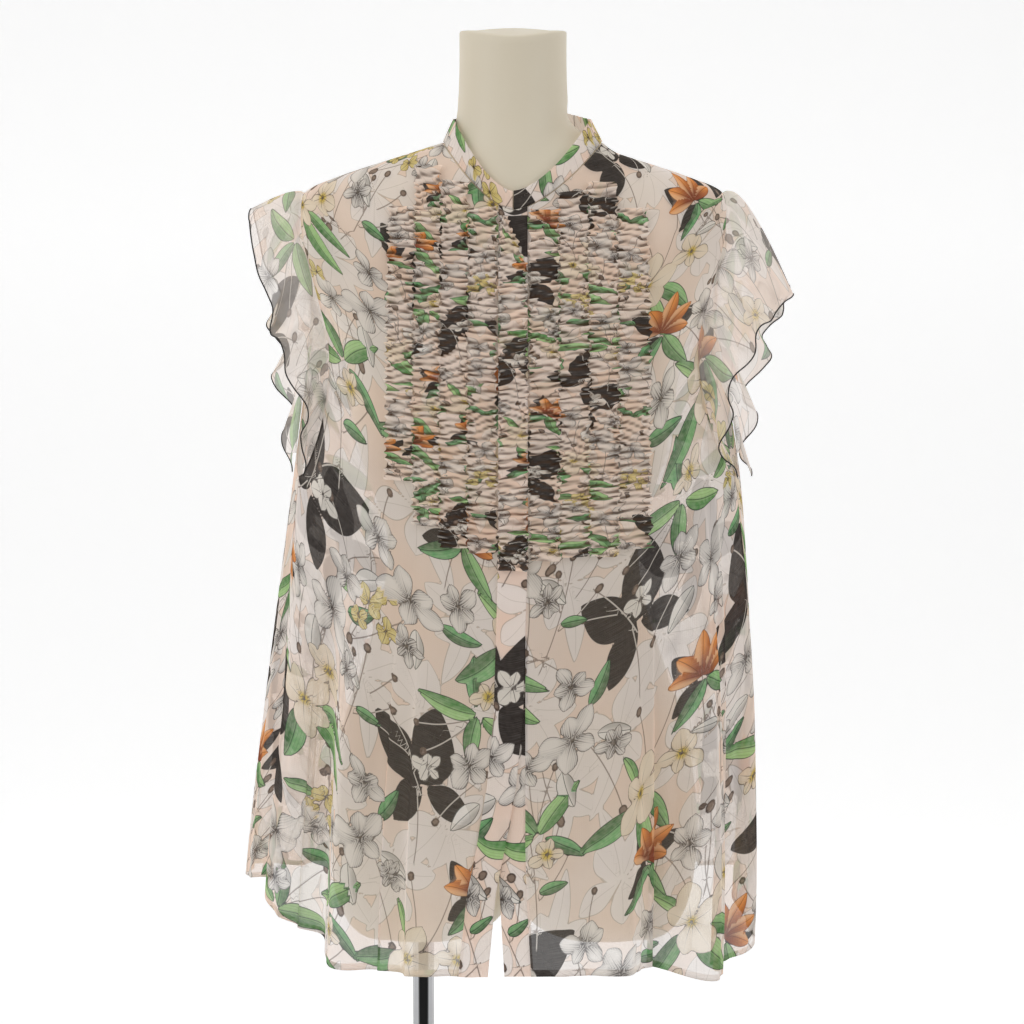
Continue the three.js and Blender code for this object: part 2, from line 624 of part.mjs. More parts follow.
// Stand: a steel pole between a socket in the torso and a socket that is bolted to the round foot plate.
add("pole", bar(POLE.radius, POLE.foot, POLE.top), STEEL);
const plateProfile = [
  [0, 0],
  [PLATE.radius - PLATE.bevel, 0],
  [PLATE.radius, PLATE.bevel],
  [PLATE.radius, PLATE.thick - PLATE.bevel],
  [PLATE.radius - PLATE.bevel, PLATE.thick],
  [0, PLATE.thick],
].map(([r, z]) => new THREE.Vector2(r, z));
const plate = new THREE.LatheGeometry(plateProfile, PLATE.sides).rotateX(Math.PI / 2);
const boss = bar(BOSS.radius, PLATE.thick + BOSS.seat, PLATE.thick + BOSS.height);
const bore = bar(POLE.radius + BOSS.fit, PLATE.thick - 1, PLATE.thick + BOSS.height + 5);
add("foot_plate", geometryOf(solidOf(plate)), STEEL);
add("pole_socket", geometryOf(solidOf(boss).subtract(solidOf(bore))), STEEL);

export default part;
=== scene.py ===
# %% [markdown]
# # A sheer printed blouse on its display form
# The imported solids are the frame: every new piece is worked out from the same sizes, so it lies where its solid lies.
# Lengths are written in millimetres, as a pattern cutter would, and are turned to metres when a mesh is made.

# %% Load the frame
import bpy
import numpy as np
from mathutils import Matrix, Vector


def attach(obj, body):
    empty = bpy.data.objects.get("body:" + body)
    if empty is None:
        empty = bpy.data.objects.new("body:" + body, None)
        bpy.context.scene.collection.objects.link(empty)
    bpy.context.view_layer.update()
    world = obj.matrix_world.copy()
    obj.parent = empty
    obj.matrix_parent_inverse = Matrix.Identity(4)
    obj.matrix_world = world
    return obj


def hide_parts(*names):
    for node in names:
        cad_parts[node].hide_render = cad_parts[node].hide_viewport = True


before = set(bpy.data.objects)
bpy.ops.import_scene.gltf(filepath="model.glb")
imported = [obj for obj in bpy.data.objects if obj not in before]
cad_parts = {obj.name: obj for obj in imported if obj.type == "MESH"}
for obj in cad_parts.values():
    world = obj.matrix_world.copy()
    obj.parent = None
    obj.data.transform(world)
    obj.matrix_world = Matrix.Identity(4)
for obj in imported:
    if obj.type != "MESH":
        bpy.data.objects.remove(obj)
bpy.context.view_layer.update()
MM = 0.001
print("solids loaded:", len(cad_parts))

# %% [markdown]
# The blouse has one surface, from which all its pieces are cut. Rings run round the body from the neckline to the hem.
# A ring is a rounded rectangle in plan, and a smooth curve through the table joins the rings.

# %% Rings of the cloth
# name, wearer's right half, left half, side height, front reach and height, back reach and height, vee of the front
RING_COLUMNS = ("right", "left", "side", "frontY", "front", "backY", "back", "vee")
RINGS = dict(zip(RING_COLUMNS, np.array([
    (62, 79, 990, -76, 930, 66, 1000, 1.4),     # neckline
    (90, 92, 981, -81, 921, 76, 986, 1.5),      # collarbone
    (122, 122, 971, -88, 908, 85, 967, 1.7),    # mid shoulder
    (155, 155, 960, -95, 893, 92, 944, 2),      # outer shoulder
    (185, 186, 946, -104, 875, 97, 918, 2),     # shoulder point
    (195, 196, 921, -112, 857, 100, 890, 2),    # arm cap
    (195, 196, 892, -120, 838, 102, 862, 2),    # upper chest
    (191, 192, 860, -127, 819, 104, 836, 2),    # over bust
    (187, 188, 825, -132, 800, 105, 812, 2),    # high bust
    (187, 190, 787, -135, 778, 107, 784, 2),    # bust
    (190, 196, 744, -138, 742, 110, 744, 2),    # under bust
    (196, 203, 697, -142, 696, 115, 696, 2),    # underarm
    (203, 209, 640, -148, 640, 122, 640, 2),    # waist
    (210, 213, 580, -153, 578, 130, 580, 2.4),  # high hip
    (217, 215, 515, -158, 510, 139, 512, 2.8),  # hip
    (224, 214, 449, -162, 434, 147, 440, 3.2),  # low hip
    (231, 213, 385, -165, 356, 154, 368, 3.6),  # thigh
    (237, 211, 326, -167, 277, 160, 297, 4),    # hem
], float).T))
SHOULDER_POINT, UNDERARM, HEM = 4, 11, 17
SQUARENESS = 2.3


def column(values, at):
    """A cubic curve through values at 0, 1, 2 and so on: each span leaves and arrives with the mean of its
    neighbours' slopes. at may be any array."""
    last = len(values) - 1
    i = np.clip(np.floor(at).astype(int), 0, last - 1)
    f = at - i
    b, c = values[i], values[i + 1]
    a = np.where(i > 0, values[np.maximum(i - 1, 0)], 2 * b - c)
    d = np.where(i + 2 <= last, values[np.minimum(i + 2, last)], 2 * c - b)
    return (b * (1 + 2 * f) * (1 - f) ** 2 + (c - a) / 2 * f * (1 - f) ** 2
            + c * f * f * (3 - 2 * f) - (d - b) / 2 * f * f * (1 - f))


def smooth(t):
    """0 below 0, 1 above 1, and an even S between them."""
    c = np.clip(t, 0, 1)
    return c * c * (3 - 2 * c)


def turn_between(a, b):
    """The shortest way from b to a, in degrees."""
    return (a - b + 540) % 360 - 180


def ring_point(ring, degrees, squareness):
    """A point of a rounded rectangle: half-width times |cos| to 2/squareness across and the reach times |sin| to
    2/squareness deep; the height runs from the end's to the side's with |cos| to the ring's vee."""
    c, s = np.cos(np.radians(degrees)), np.sin(np.radians(degrees))
    half = np.where(c < 0, -ring["right"], ring["left"])
    ahead = s < 0
    end = np.where(ahead, ring["front"], ring["back"])
    return np.stack([
        half * np.abs(c) ** (2 / squareness),
        np.where(ahead, ring["frontY"], ring["backY"]) * np.abs(s) ** (2 / squareness),
        end + (ring["side"] - end) * np.abs(c) ** np.where(ahead, ring["vee"], 2),
    ], -1)


def cloth_ring(at):
    return {key: column(RINGS[key], at) for key in RING_COLUMNS}


print("rings:", len(RINGS["side"]), "from", RINGS["back"][0], "mm down to", RINGS["front"][-1], "mm")

# %% [markdown]
# Thin cloth hangs in folds from the bust and the shoulder blades. They are listed one by one, as on the real blouse:
# each has its own place, height, lean and start, so no two are alike. Finer creases, which only the looks need, follow
# in a second table. A cloth simulation would move the hem away from its solid, so the folds are worked out instead.

# %% Folds and creases
# place in degrees, ridge height, sideways lean, half-width in degrees, height where it starts
FOLDS = np.array([
    (-106, 7, -3, 6, 690), (-114, -7, 0, 6, 650), (-123, 20, -6, 8, 760), (-137, -22, 0, 7, 720),
    (-150, 6, -4, 7, 700), (-163, -14, 0, 7, 700), (-178, 6, -5, 8, 740), (166, 15, -6, 10, 760),
    (150, -16, 0, 8, 740), (133, 19, 6, 9, 810), (118, -13, 0, 7, 760), (104, 15, -4, 8, 720),
    (90, -11, 0, 7, 700), (76, 17, 5, 8, 780), (61, -14, 0, 7, 720), (46, 20, -6, 9, 810),
    (29, -16, 0, 8, 750), (13, 14, 5, 9, 760), (-4, -12, 0, 7, 700), (-19, 13, 6, 7, 730),
    (-31, -13, 0, 6, 700), (-45, 24, 8, 8, 790), (-58, -15, 0, 7, 700), (-69, 12, 8, 7, 640),
])
CREASES = np.array([
    (-97, 1.8, 1, 2.2, 600), (-101, -1.8, 0, 2, 560), (-108, 3.2, -3, 1.8, 690), (-118, -3, 0, 2.2, 740),
    (-129, 4.2, 4, 2, 720), (-145, 3.4, -3, 2.4, 700), (-156, -3.4, 0, 2.2, 700), (-170, 3.6, 3, 2.4, 740),
    (172, -2.2, 0, 2.2, 640), (158, 2.6, -2, 2.4, 700), (141, -2.4, 0, 2, 660), (126, 2.4, 2, 2.2, 720),
    (111, -2.2, 0, 2, 640), (97, 2.2, -2, 2.2, 680), (83, -2, 0, 2, 620), (69, 2.6, 2, 2.2, 700),
    (53, -2.4, 0, 2, 650), (38, 2.6, -2, 2.4, 720), (21, -2.4, 0, 2.2, 650), (4, 2.4, 2, 2.2, 690),
    (-11, 3.4, -3, 2, 700), (-25, -3.2, 0, 2, 720), (-40, 4.2, 4, 2, 760), (-52, -3.6, 0, 2.2, 720),
    (-63, 2.4, 2, 2, 600), (-75, -1.8, 0, 2, 560), (-81, 1.6, 1, 2.2, 600),
    # sharp pleats that lean over
    (-113.5, 5, -10, 2, 700), (-140, 5, -8, 2, 760), (-60, 5, 9, 2, 720), (-34, 5, 9, 2, 780), (64, 5, 9, 2, 740), (148, 5, -9, 2, 760),
])
HEM_DIPS = np.array([(-25, 40, 29), (-47, 9, 9), (-156, -22, 24)])
HEM_DIPS_START = 640
FULL_BELOW = 330


def cloth(degrees, at, creased=True):
    """The blouse's surface: the ring's point, pushed out and sideways by every fold, each a bell curve across its
    place that grows from its start down to the hem, and lowered where the hem dips."""
    degrees, at = np.broadcast_arrays(np.asarray(degrees, float), np.asarray(at, float))
    ring = cloth_ring(at)
    p = ring_point(ring, degrees, SQUARENESS)
    half = np.where(np.cos(np.radians(degrees)) < 0, ring["right"], ring["left"])
    deep = np.where(np.sin(np.radians(degrees)) < 0, ring["frontY"], ring["backY"])
    out = np.stack([p[..., 0] / half ** 2, p[..., 1] / deep ** 2], -1)
    out /= np.linalg.norm(out, axis=-1, keepdims=True)
    push = np.zeros(at.shape)
    lean = np.zeros(at.shape)
    for place, height, sideways, wide, starts in np.vstack([FOLDS, CREASES]) if creased else FOLDS:
        reach = smooth((starts - p[..., 2]) / (starts - FULL_BELOW))
        ridge = reach * np.exp(-2 * (turn_between(degrees, place) / wide) ** 2)
        push += height * ridge
        lean += sideways * ridge
    dip_reach = smooth((HEM_DIPS_START - p[..., 2]) / (HEM_DIPS_START - FULL_BELOW))
    for place, down, wide in HEM_DIPS:
        p[..., 2] -= down * dip_reach * np.exp(-2 * (turn_between(degrees, place) / wide) ** 2)
    p[..., 0] += out[..., 0] * push - out[..., 1] * lean
    p[..., 1] += out[..., 1] * push + out[..., 0] * lean
    return p


def unit(v):
    return v / (np.linalg.norm(v, axis=-1, keepdims=True) + 1e-9)


def cloth_normal(degrees, at):
    """The way out of the cloth: across it times down it."""
    turn = cloth(degrees + 0.5, at) - cloth(degrees - 0.5, at)
    down = cloth(degrees, at + 0.02) - cloth(degrees, at - 0.02)
    return unit(np.cross(down, turn))


def degrees_at_x(x, at):
    """The place round the front where the ring has a given x."""
    half = np.where(x < 0, column(RINGS["right"], at), column(RINGS["left"], at))
    turn = np.degrees(np.arccos(np.minimum(1, np.abs(x) / half) ** (SQUARENESS / 2)))
    return np.where(x < 0, turn - 180, -turn)


print("folds:", len(FOLDS), "fine creases:", len(CREASES))

# %% [markdown]
# The print is a dense garden print on a blush ground: pale flower silhouettes, charcoal leaf shadows, green leaves,
# pencil-sketched and cream blossoms, orange lilies and thin stems with buds. Every motif here is this lesson's own,
# charted in a tile that repeats. A picture texture isn't needed: at each vertex the distance to the nearest edge of
# every kind of motif is stored, and the material turns distance into crisp edges, so the print stays sharp.

# %% Chart of the print
TILE = np.array([360.0, 430.0])
# Sprigs in their own frame, in millimetres and degrees.
# leaves: x, y, turn, length, half-width, bend, tone (0 dark to 1 light, below 0 sketched in pencil)
# shadows: x, y, turn, length, half-width, bend
# blossoms: x, y, turn, radius, petals, kind (-1 cut out, 0 pencil, 1 cream, 1.6 yellow)
# lilies: x, y, turn, length
# stems: x, y, turn, length, bend, bud radius
SPRIGS = {
    "orchid": {
        "leaves": [(2, -8, -72, 54, 9, 11, 0.75), (8, -4, -30, 50, 7, -11, 0.5), (-10, -6, 228, 46, 8.5, -10, 0.25),
                   (-6, 6, 118, 34, 4.5, 6, 0.9)],
        "blossoms": [(0, 0, 12, 25, 5, 1.0), (36, 16, 48, 17, 5, 1.0)],
        "stems": [(10, 14, 74, 62, 12, 2.8), (18, 12, 50, 70, -13, 2.6), (2, 16, 104, 46, 8, 2.4), (34, 28, 30, 36, 7, 2.4)],
    },
    "pencil group": {
        "leaves": [(-20, -12, 238, 32, 7, 5, -1), (14, -14, -52, 30, 6.5, -4, -1), (24, 8, 12, 34, 6, 6, 0.1)],
        "blossoms": [(0, 0, 0, 24, 5, 0.0), (-38, 12, 40, 19, 5, 0.0), (26, 32, 75, 17, 5, 0.0), (16, -32, 20, 14, 6, 0.0)],
        "stems": [(4, -20, 262, 60, -9, 2.8), (-30, 0, 240, 44, 7, 2.5), (30, 42, 96, 40, 6, 2.6), (-40, 22, 118, 30, -5, 2.2)],
    },
    "lily": {
        "shadows": [(-2, 0, 128, 36, 10, -6), (2, -2, 14, 38, 9, 6), (0, -4, 200, 32, 8, 5)],
        "leaves": [(2, -4, 232, 42, 7, -8, 0.1), (4, -4, -58, 46, 7, 8, 0.5)],
        "lilies": [(0, 0, 74, 38)],
        "stems": [(0, -2, 258, 44, 6, 0)],
    },
    "shadow plant": {
        "shadows": [(0, 0, 48, 62, 19, 11), (-2, 0, 126, 54, 16, -9), (0, -2, 204, 44, 13, 8), (4, -4, -34, 42, 12, -8)],
        "blossoms": [(10, 12, 10, 13, 5, -1)],
        "stems": [(-2, -8, 92, 62, 10, 0), (0, 10, 128, 40, 7, 1.8), (-4, -2, 262, 56, -8, 0)],
    },
    "leaf spray": {
        "leaves": [(0, 0, 28, 54, 9, -10, 0.75), (-2, 2, 96, 46, 8, 8, 0.4), (-6, 0, 164, 50, 8, 10, 0.9),
                   (2, -6, -56, 46, 6.5, -8, 0.1)],
        "blossoms": [(-4, -20, 30, 16, 5, 1.0)],
        "stems": [(0, 6, 74, 60, -9, 2.6), (2, 6, 52, 54, -8, 2.6), (-2, 6, 118, 48, 8, 2.4)],
    },
    "buttercups": {
        "leaves": [(-8, 2, 170, 30, 5, 5, 0.6)],
        "blossoms": [(0, 0, 5, 11, 4, 1.6), (18, 8, 40, 10, 4, 1.6), (8, -18, 70, 10, 4, 1.6), (-14, -12, 20, 9, 4, 1.6)],
        "stems": [(4, 8, 66, 34, 5, 2.2), (-4, -4, 232, 40, -6, 2.2)],
    },
    "twig": {
        "leaves": [(-4, 30, 150, 26, 5, 5, -1), (4, 12, 20, 24, 5, -4, 0.2)],
        "stems": [(0, -30, 84, 96, 14, 2.8), (4, 6, 44, 42, 7, 2.8), (2, 18, 122, 36, -6, 2.4), (10, 34, 62, 34, 5, 2.4),
                  (4, -16, 200, 30, 6, 2.2)],
    },
}
# x, y, turn, scale of each sprig in the tile
PLACES = [
    ("orchid", 44, 30, -12, 1.15), ("twig", 128, 22, 10, 1.0), ("pencil group", 214, 40, -20, 1.1), ("leaf spray", 310, 30, 30, 0.95),
    ("lily", 98, 98, 15, 1.0), ("shadow plant", 180, 116, -8, 1.3), ("buttercups", 262, 92, 10, 1.1), ("pencil group", 338, 104, 40, 1.1),
    ("shadow plant", 34, 178, 24, 1.1), ("pencil group", 112, 184, -14, 1.1), ("orchid", 252, 166, 28, 1.15), ("twig", 320, 196, -20, 1.0),
    ("leaf spray", 76, 252, 160, 0.95), ("buttercups", 158, 242, 0, 1.15), ("lily", 208, 258, -25, 1.05), ("pencil group", 292, 258, 12, 1.1),
    ("pencil group", 16, 322, -30, 1.1), ("orchid", 110, 320, 6, 1.2), ("twig", 186, 334, 24, 1.0), ("shadow plant", 266, 338, -34, 1.25),
    ("buttercups", 340, 298, 20, 1.1), ("lily", 58, 396, -10, 1.05), ("pencil group", 148, 398, 30, 1.1), ("leaf spray", 226, 408, -14, 1.0),
    ("twig", 304, 396, 0, 1.1),
]
# pale silhouettes behind everything, each a flower with two leaves: x, y, turn, radius
GHOSTS = [
    (18, 96, 10, 44), (96, 40, 62, 40), (176, 60, 30, 46), (262, 30, 84, 42), (332, 62, 20, 38), (64, 150, 48, 42),
    (150, 146, 70, 40), (214, 196, 15, 46), (300, 140, 55, 44), (30, 236, 80, 46), (112, 250, 25, 42), (250, 270, 66, 44),
    (334, 238, 35, 42), (66, 330, 12, 40), (160, 300, 50, 44), (222, 350, 75, 42), (310, 350, 28, 46), (20, 400, 60, 42),
    (110, 392, 38, 44), (270, 410, 5, 40),
]


def in_tile(kind):
    """Every motif of one kind, carried by its sprig's place, turn and scale into the tile."""
    rows = []
    for sprig, x, y, turn, scale in PLACES:
        c, s = np.cos(np.radians(turn)), np.sin(np.radians(turn))
        for row in SPRIGS[sprig].get(kind, []):
            lengths = [v * scale for v in row[3:6 if kind in ("leaves", "shadows", "stems") else 4]]
            rows.append((x + scale * (c * row[0] - s * row[1]), y + scale * (s * row[0] + c * row[1]),
                         row[2] + turn, *lengths, *row[3 + len(lengths):]))
    return rows


print({kind: len(in_tile(kind)) for kind in ("shadows", "leaves", "blossoms", "lilies", "stems")})

# %% Distances to the motifs
FAR = -40.0
# a silhouette's blades in shares of its radius: direction in degrees, length, half-width, bend, where it is widest
GHOST_BLADES = [(0, 1.0, 0.27, 0.1, 1.3), (70, 0.92, 0.25, -0.1, 1.3), (140, 1.0, 0.28, 0.12, 1.3), (215, 0.9, 0.26, -0.08, 1.3),
                (288, 0.96, 0.27, 0.1, 1.3), (34, 1.7, 0.2, 0.34, 0.9), (252, 1.6, 0.22, -0.34, 0.9)]


def own_frame(s, t, x, y, turn):
    """Cloth coordinates seen from a motif: the nearest copy in the repeat, turned to the motif's own axes."""
    ds = (s - x + TILE[0] / 2) % TILE[0] - TILE[0] / 2
    dt = (t - y + TILE[1] / 2) % TILE[1] - TILE[1] / 2
    c, k = np.cos(np.radians(turn)), np.sin(np.radians(turn))
    return c * ds + k * dt, -k * ds + c * dt


def blade(a, b, length, half, bend, tip=0.8):
    """A leaf or petal along +a: its half-width is a sine of the share along it, to a power that rounds its ends.
    Returns the distance inside its edge and the signed distance from its bent midrib."""
    share = np.clip(a / length, 0, 1)
    side = b - bend * share * share
    width = half * np.sin(np.pi * share ** tip) ** 0.8
    return width - np.abs(side) - np.maximum(0, -a) - np.maximum(0, a - length), side


def keep_best(best, value, *carried):
    """Where value is higher than the best so far, it and what it carries take over."""
    wins = value > best[0]
    best[0] = np.where(wins, value, best[0])
    for n, extra in enumerate(carried, 1):
        best[n] = np.where(wins, extra, best[n])


def print_fields(s, t):
    """Distances, in millimetres, that the material draws the print from, as six vector attributes."""
    s, t = np.asarray(s, float), np.asarray(t, float)

    def blank(count):
        return [np.full(s.shape, FAR)] + [np.zeros(s.shape) for _ in range(count)]

    ghost, shadow, leaf, lily, flower, stem, bud = (blank(n) for n in (1, 1, 2, 2, 3, 1, 0))
    for x, y, turn, size in GHOSTS:
        a, b = own_frame(s, t, x, y, turn)
        for way, length, half, bend, tip in GHOST_BLADES:
            c, k = np.cos(np.radians(way)), np.sin(np.radians(way))
            keep_best(ghost, *blade(c * a + k * b, -k * a + c * b, length * size, half * size, bend * size, tip))
    for x, y, turn, length, half, bend in in_tile("shadows"):
        keep_best(shadow, *blade(*own_frame(s, t, x, y, turn), length, half, bend, 0.9))
    for x, y, turn, length, half, bend, tone in in_tile("leaves"):
        edge, side = blade(*own_frame(s, t, x, y, turn), length, half, bend)
        keep_best(leaf, edge, side, tone + 0 * side)
    for x, y, turn, length in in_tile("lilies"):
        a, b = own_frame(s, t, x, y, turn)
        for petal in (-64, 66, -33, 36, 2):
            c, k = np.cos(np.radians(petal)), np.sin(np.radians(petal))
            edge, side = blade(c * a + k * b, -k * a + c * b, length * (1 - abs(petal) / 240), length * 0.19, petal / 7, 1.15)
            keep_best(lily, edge, side, np.hypot(a, b) / length)
    for x, y, turn, radius, petals, cream in in_tile("blossoms"):
        a, b = own_frame(s, t, x, y, turn)
        reach = np.hypot(a, b)
        for n in range(int(petals)):
            way = 2 * np.pi * (n + 0.12 * np.sin(3 * n + radius)) / petals
            c, k = np.cos(way), np.sin(way)
            length = radius * (1 + 0.2 * np.sin(2.3 * n + turn))
            half = radius * (1.72 + 0.3 * np.cos(1.7 * n + turn)) / petals
            edge, side = blade(c * a + k * b, -k * a + c * b, length, half, 0.16 * radius * np.cos(2 * n), 1.35)
            keep_best(flower, edge, side, reach, cream + 0 * side)
    for x, y, turn, length, bend, knob in in_tile("stems"):
        a, b = own_frame(s, t, x, y, turn)
        share = np.clip(a / length, 0, 1)
        side = b - bend * share * share
        nearness = -np.abs(side) - 3 * np.maximum(0, -a) - 3 * np.maximum(0, a - length)
        keep_best(stem, nearness, side)
        if knob:
            keep_best(bud, knob * 1.25 - np.hypot((a - length) * 0.8, b - bend))
    return {
        "print_back": np.stack([ghost[0], shadow[0], leaf[0]], -1),
        "print_leaf": np.stack([leaf[1], leaf[2], lily[0]], -1),
        "print_lily": np.stack([lily[1], lily[2], flower[0]], -1),
        "print_bloom": np.stack([flower[1], flower[2], flower[3]], -1),
        "print_stem": np.stack([stem[1], (stem[0] > -5).astype(float), bud[0]], -1),
        "print_ribs": np.stack([ghost[1], shadow[1], 0.5 + 0.5 * np.sin(s / 31 + 1.7 * np.sin(t / 43)) * np.sin(t / 37)], -1),
    }


# %% [markdown]
# A helper turns a grid of points into a mesh with numpy alone. It also stores the cloth's own coordinates as a UV map,
# for the weave, and the print's distances as attributes. Open sheets are left as one thin layer, because each layer
# of chiffon should be seen through once.

# %% Mesh from a grid
def grid_faces(rows, columns, wrap=False):
    """Corner numbers of every quad of a grid; wrap joins the last column to the first."""
    j, i = np.meshgrid(np.arange(rows - 1), np.arange(columns if wrap else columns - 1), indexing="ij")
    right = (i + 1) % columns
    return np.stack([j * columns + i, j * columns + right, (j + 1) * columns + right, (j + 1) * columns + i], -1).reshape(-1, 4)


def mesh_piece(name, points, faces, st=None, fields=None, inward_of=None):
    """A smooth-shaded object from points in millimetres. Its faces are turned to point away from inward_of."""
    points = np.asarray(points, float).reshape(-1, 3)
    if inward_of is not None:
        a, b, c = (points[faces[:, n]] for n in (0, 1, 2))
        middle = (a + c) / 2 - np.asarray(inward_of, float)
        if np.sum(np.cross(b - a, c - a) * middle) < 0:
            faces = faces[:, ::-1]
    mesh = bpy.data.meshes.new(name)
    mesh.vertices.add(len(points))
    mesh.vertices.foreach_set("co", (points * MM).astype(np.float32).ravel())
    mesh.loops.add(faces.size)
    mesh.loops.foreach_set("vertex_index", faces.astype(np.int32).ravel())
    mesh.polygons.add(len(faces))
    mesh.polygons.foreach_set("loop_start", np.arange(0, faces.size, 4, dtype=np.int32))
    mesh.polygons.foreach_set("loop_total", np.full(len(faces), 4, np.int32))
    mesh.polygons.foreach_set("use_smooth", np.ones(len(faces), bool))
    mesh.update(calc_edges=True)
    if st is not None:
        st = np.asarray(st, float).reshape(-1, 2)
        layer = mesh.uv_layers.new(name="cloth")
        layer.data.foreach_set("uv", (st[faces.ravel()] * MM).astype(np.float32).ravel())
    for key, values in (fields or {}).items():
        attribute = mesh.attributes.new(key, "FLOAT_VECTOR", "POINT")
        attribute.data.foreach_set("vector", np.asarray(values, np.float32).reshape(-1, 3).ravel())
    mesh.validate()
    piece = bpy.data.objects.new(name, mesh)
    bpy.context.scene.collection.objects.link(piece)
    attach(piece, "root")
    return piece


def lengths_along(points, axis):
    """Running length along one axis of a grid of points."""
    steps = np.linalg.norm(np.diff(points, axis=axis), axis=-1)
    start = np.zeros_like(np.take(steps, [0], axis=axis))
    return np.concatenate([start, np.cumsum(steps, axis=axis)], axis=axis)


# %% [markdown]
# ## Finishes
# Colours are written as a screen shows them and turned to the linear values that the shader needs.

# %% Node helpers
def linear(hex_code):
    """sRGB to linear: c/12.92 when dark, otherwise ((c + 0.055)/1.055) to the power 2.4."""
    c = np.array([int(hex_code[n:n + 2], 16) for n in (0, 2, 4)]) / 255
    return (*np.where(c <= 0.04045, c / 12.92, ((c + 0.055) / 1.055) ** 2.4).tolist(), 1.0)


class Board:
    """A node tree with short ways to add the nodes that the finishes use."""

    def __init__(self, tree):
        self.tree = tree
        self.nodes = tree.nodes

    def add(self, kind, **values):
        node = self.nodes.new(kind)
        for key, value in values.items():
            setattr(node, key, value)
        return node

    def put(self, socket, value):
        if isinstance(value, bpy.types.NodeSocket):
            self.tree.links.new(value, socket)
        else:
            socket.default_value = value

    def math(self, operation, *values, clamp=False):
        node = self.add("ShaderNodeMath", operation=operation, use_clamp=clamp)
        for socket, value in zip(node.inputs, values):
            self.put(socket, value)
        return node.outputs[0]

    def ramp(self, value, low, high, to_low=0.0, to_high=1.0):
        """A smooth step of value from low to high."""
        node = self.add("ShaderNodeMapRange", interpolation_type="SMOOTHSTEP")
        for socket, v in zip(node.inputs, (value, low, high, to_low, to_high)):
            self.put(socket, v)
        return node.outputs[0]

    def mix(self, factor, a, b):
        node = self.add("ShaderNodeMix", data_type="RGBA")
        for socket, v in ((node.inputs[0], factor), (node.inputs[6], a), (node.inputs[7], b)):
            self.put(socket, v)
        return node.outputs[2]

    def noise(self, scale, detail=2.0, vector=None, rough=0.5):
        node = self.add("ShaderNodeTexNoise")
        node.inputs["Scale"].default_value = scale
        node.inputs["Detail"].default_value = detail
        node.inputs["Roughness"].default_value = rough
        if vector is not None:
            self.put(node.inputs["Vector"], vector)
        return node.outputs[0]

    def attribute(self, name):
        """The three numbers of a vector attribute."""
        split = self.add("ShaderNodeSeparateXYZ")
        self.put(split.inputs[0], self.add("ShaderNodeAttribute", attribute_name=name).outputs["Vector"])
        return split.outputs


def new_group(name, inputs, outputs):
    """A shader node group with named sockets; returns its board, its input node and its output node."""
    tree = bpy.data.node_groups.new(name, "ShaderNodeTree")
    for label, kind, value in inputs:
        socket = tree.interface.new_socket(name=label, in_out="INPUT", socket_type=kind)
        if value is not None:
            socket.default_value = value
    for label, kind in outputs:
        tree.interface.new_socket(name=label, in_out="OUTPUT", socket_type=kind)
    board = Board(tree)
    return board, board.add("NodeGroupInput"), board.add("NodeGroupOutput")


def new_material(name):
    material = bpy.data.materials.new(name)
    material.use_nodes = True
    material.node_tree.nodes.clear()
    return material, Board(material.node_tree)


# %% [markdown]
# The print's node group draws from back to front: blush ground, pale ghosts with a thin tan line, charcoal shadows,
# leaves, blossoms, lilies, stems and buds. Its second output says how much ink lies on the cloth, and the sheer
# finish is denser there.

# %% Print group
LINE = 0.4
SOFT = 0.35


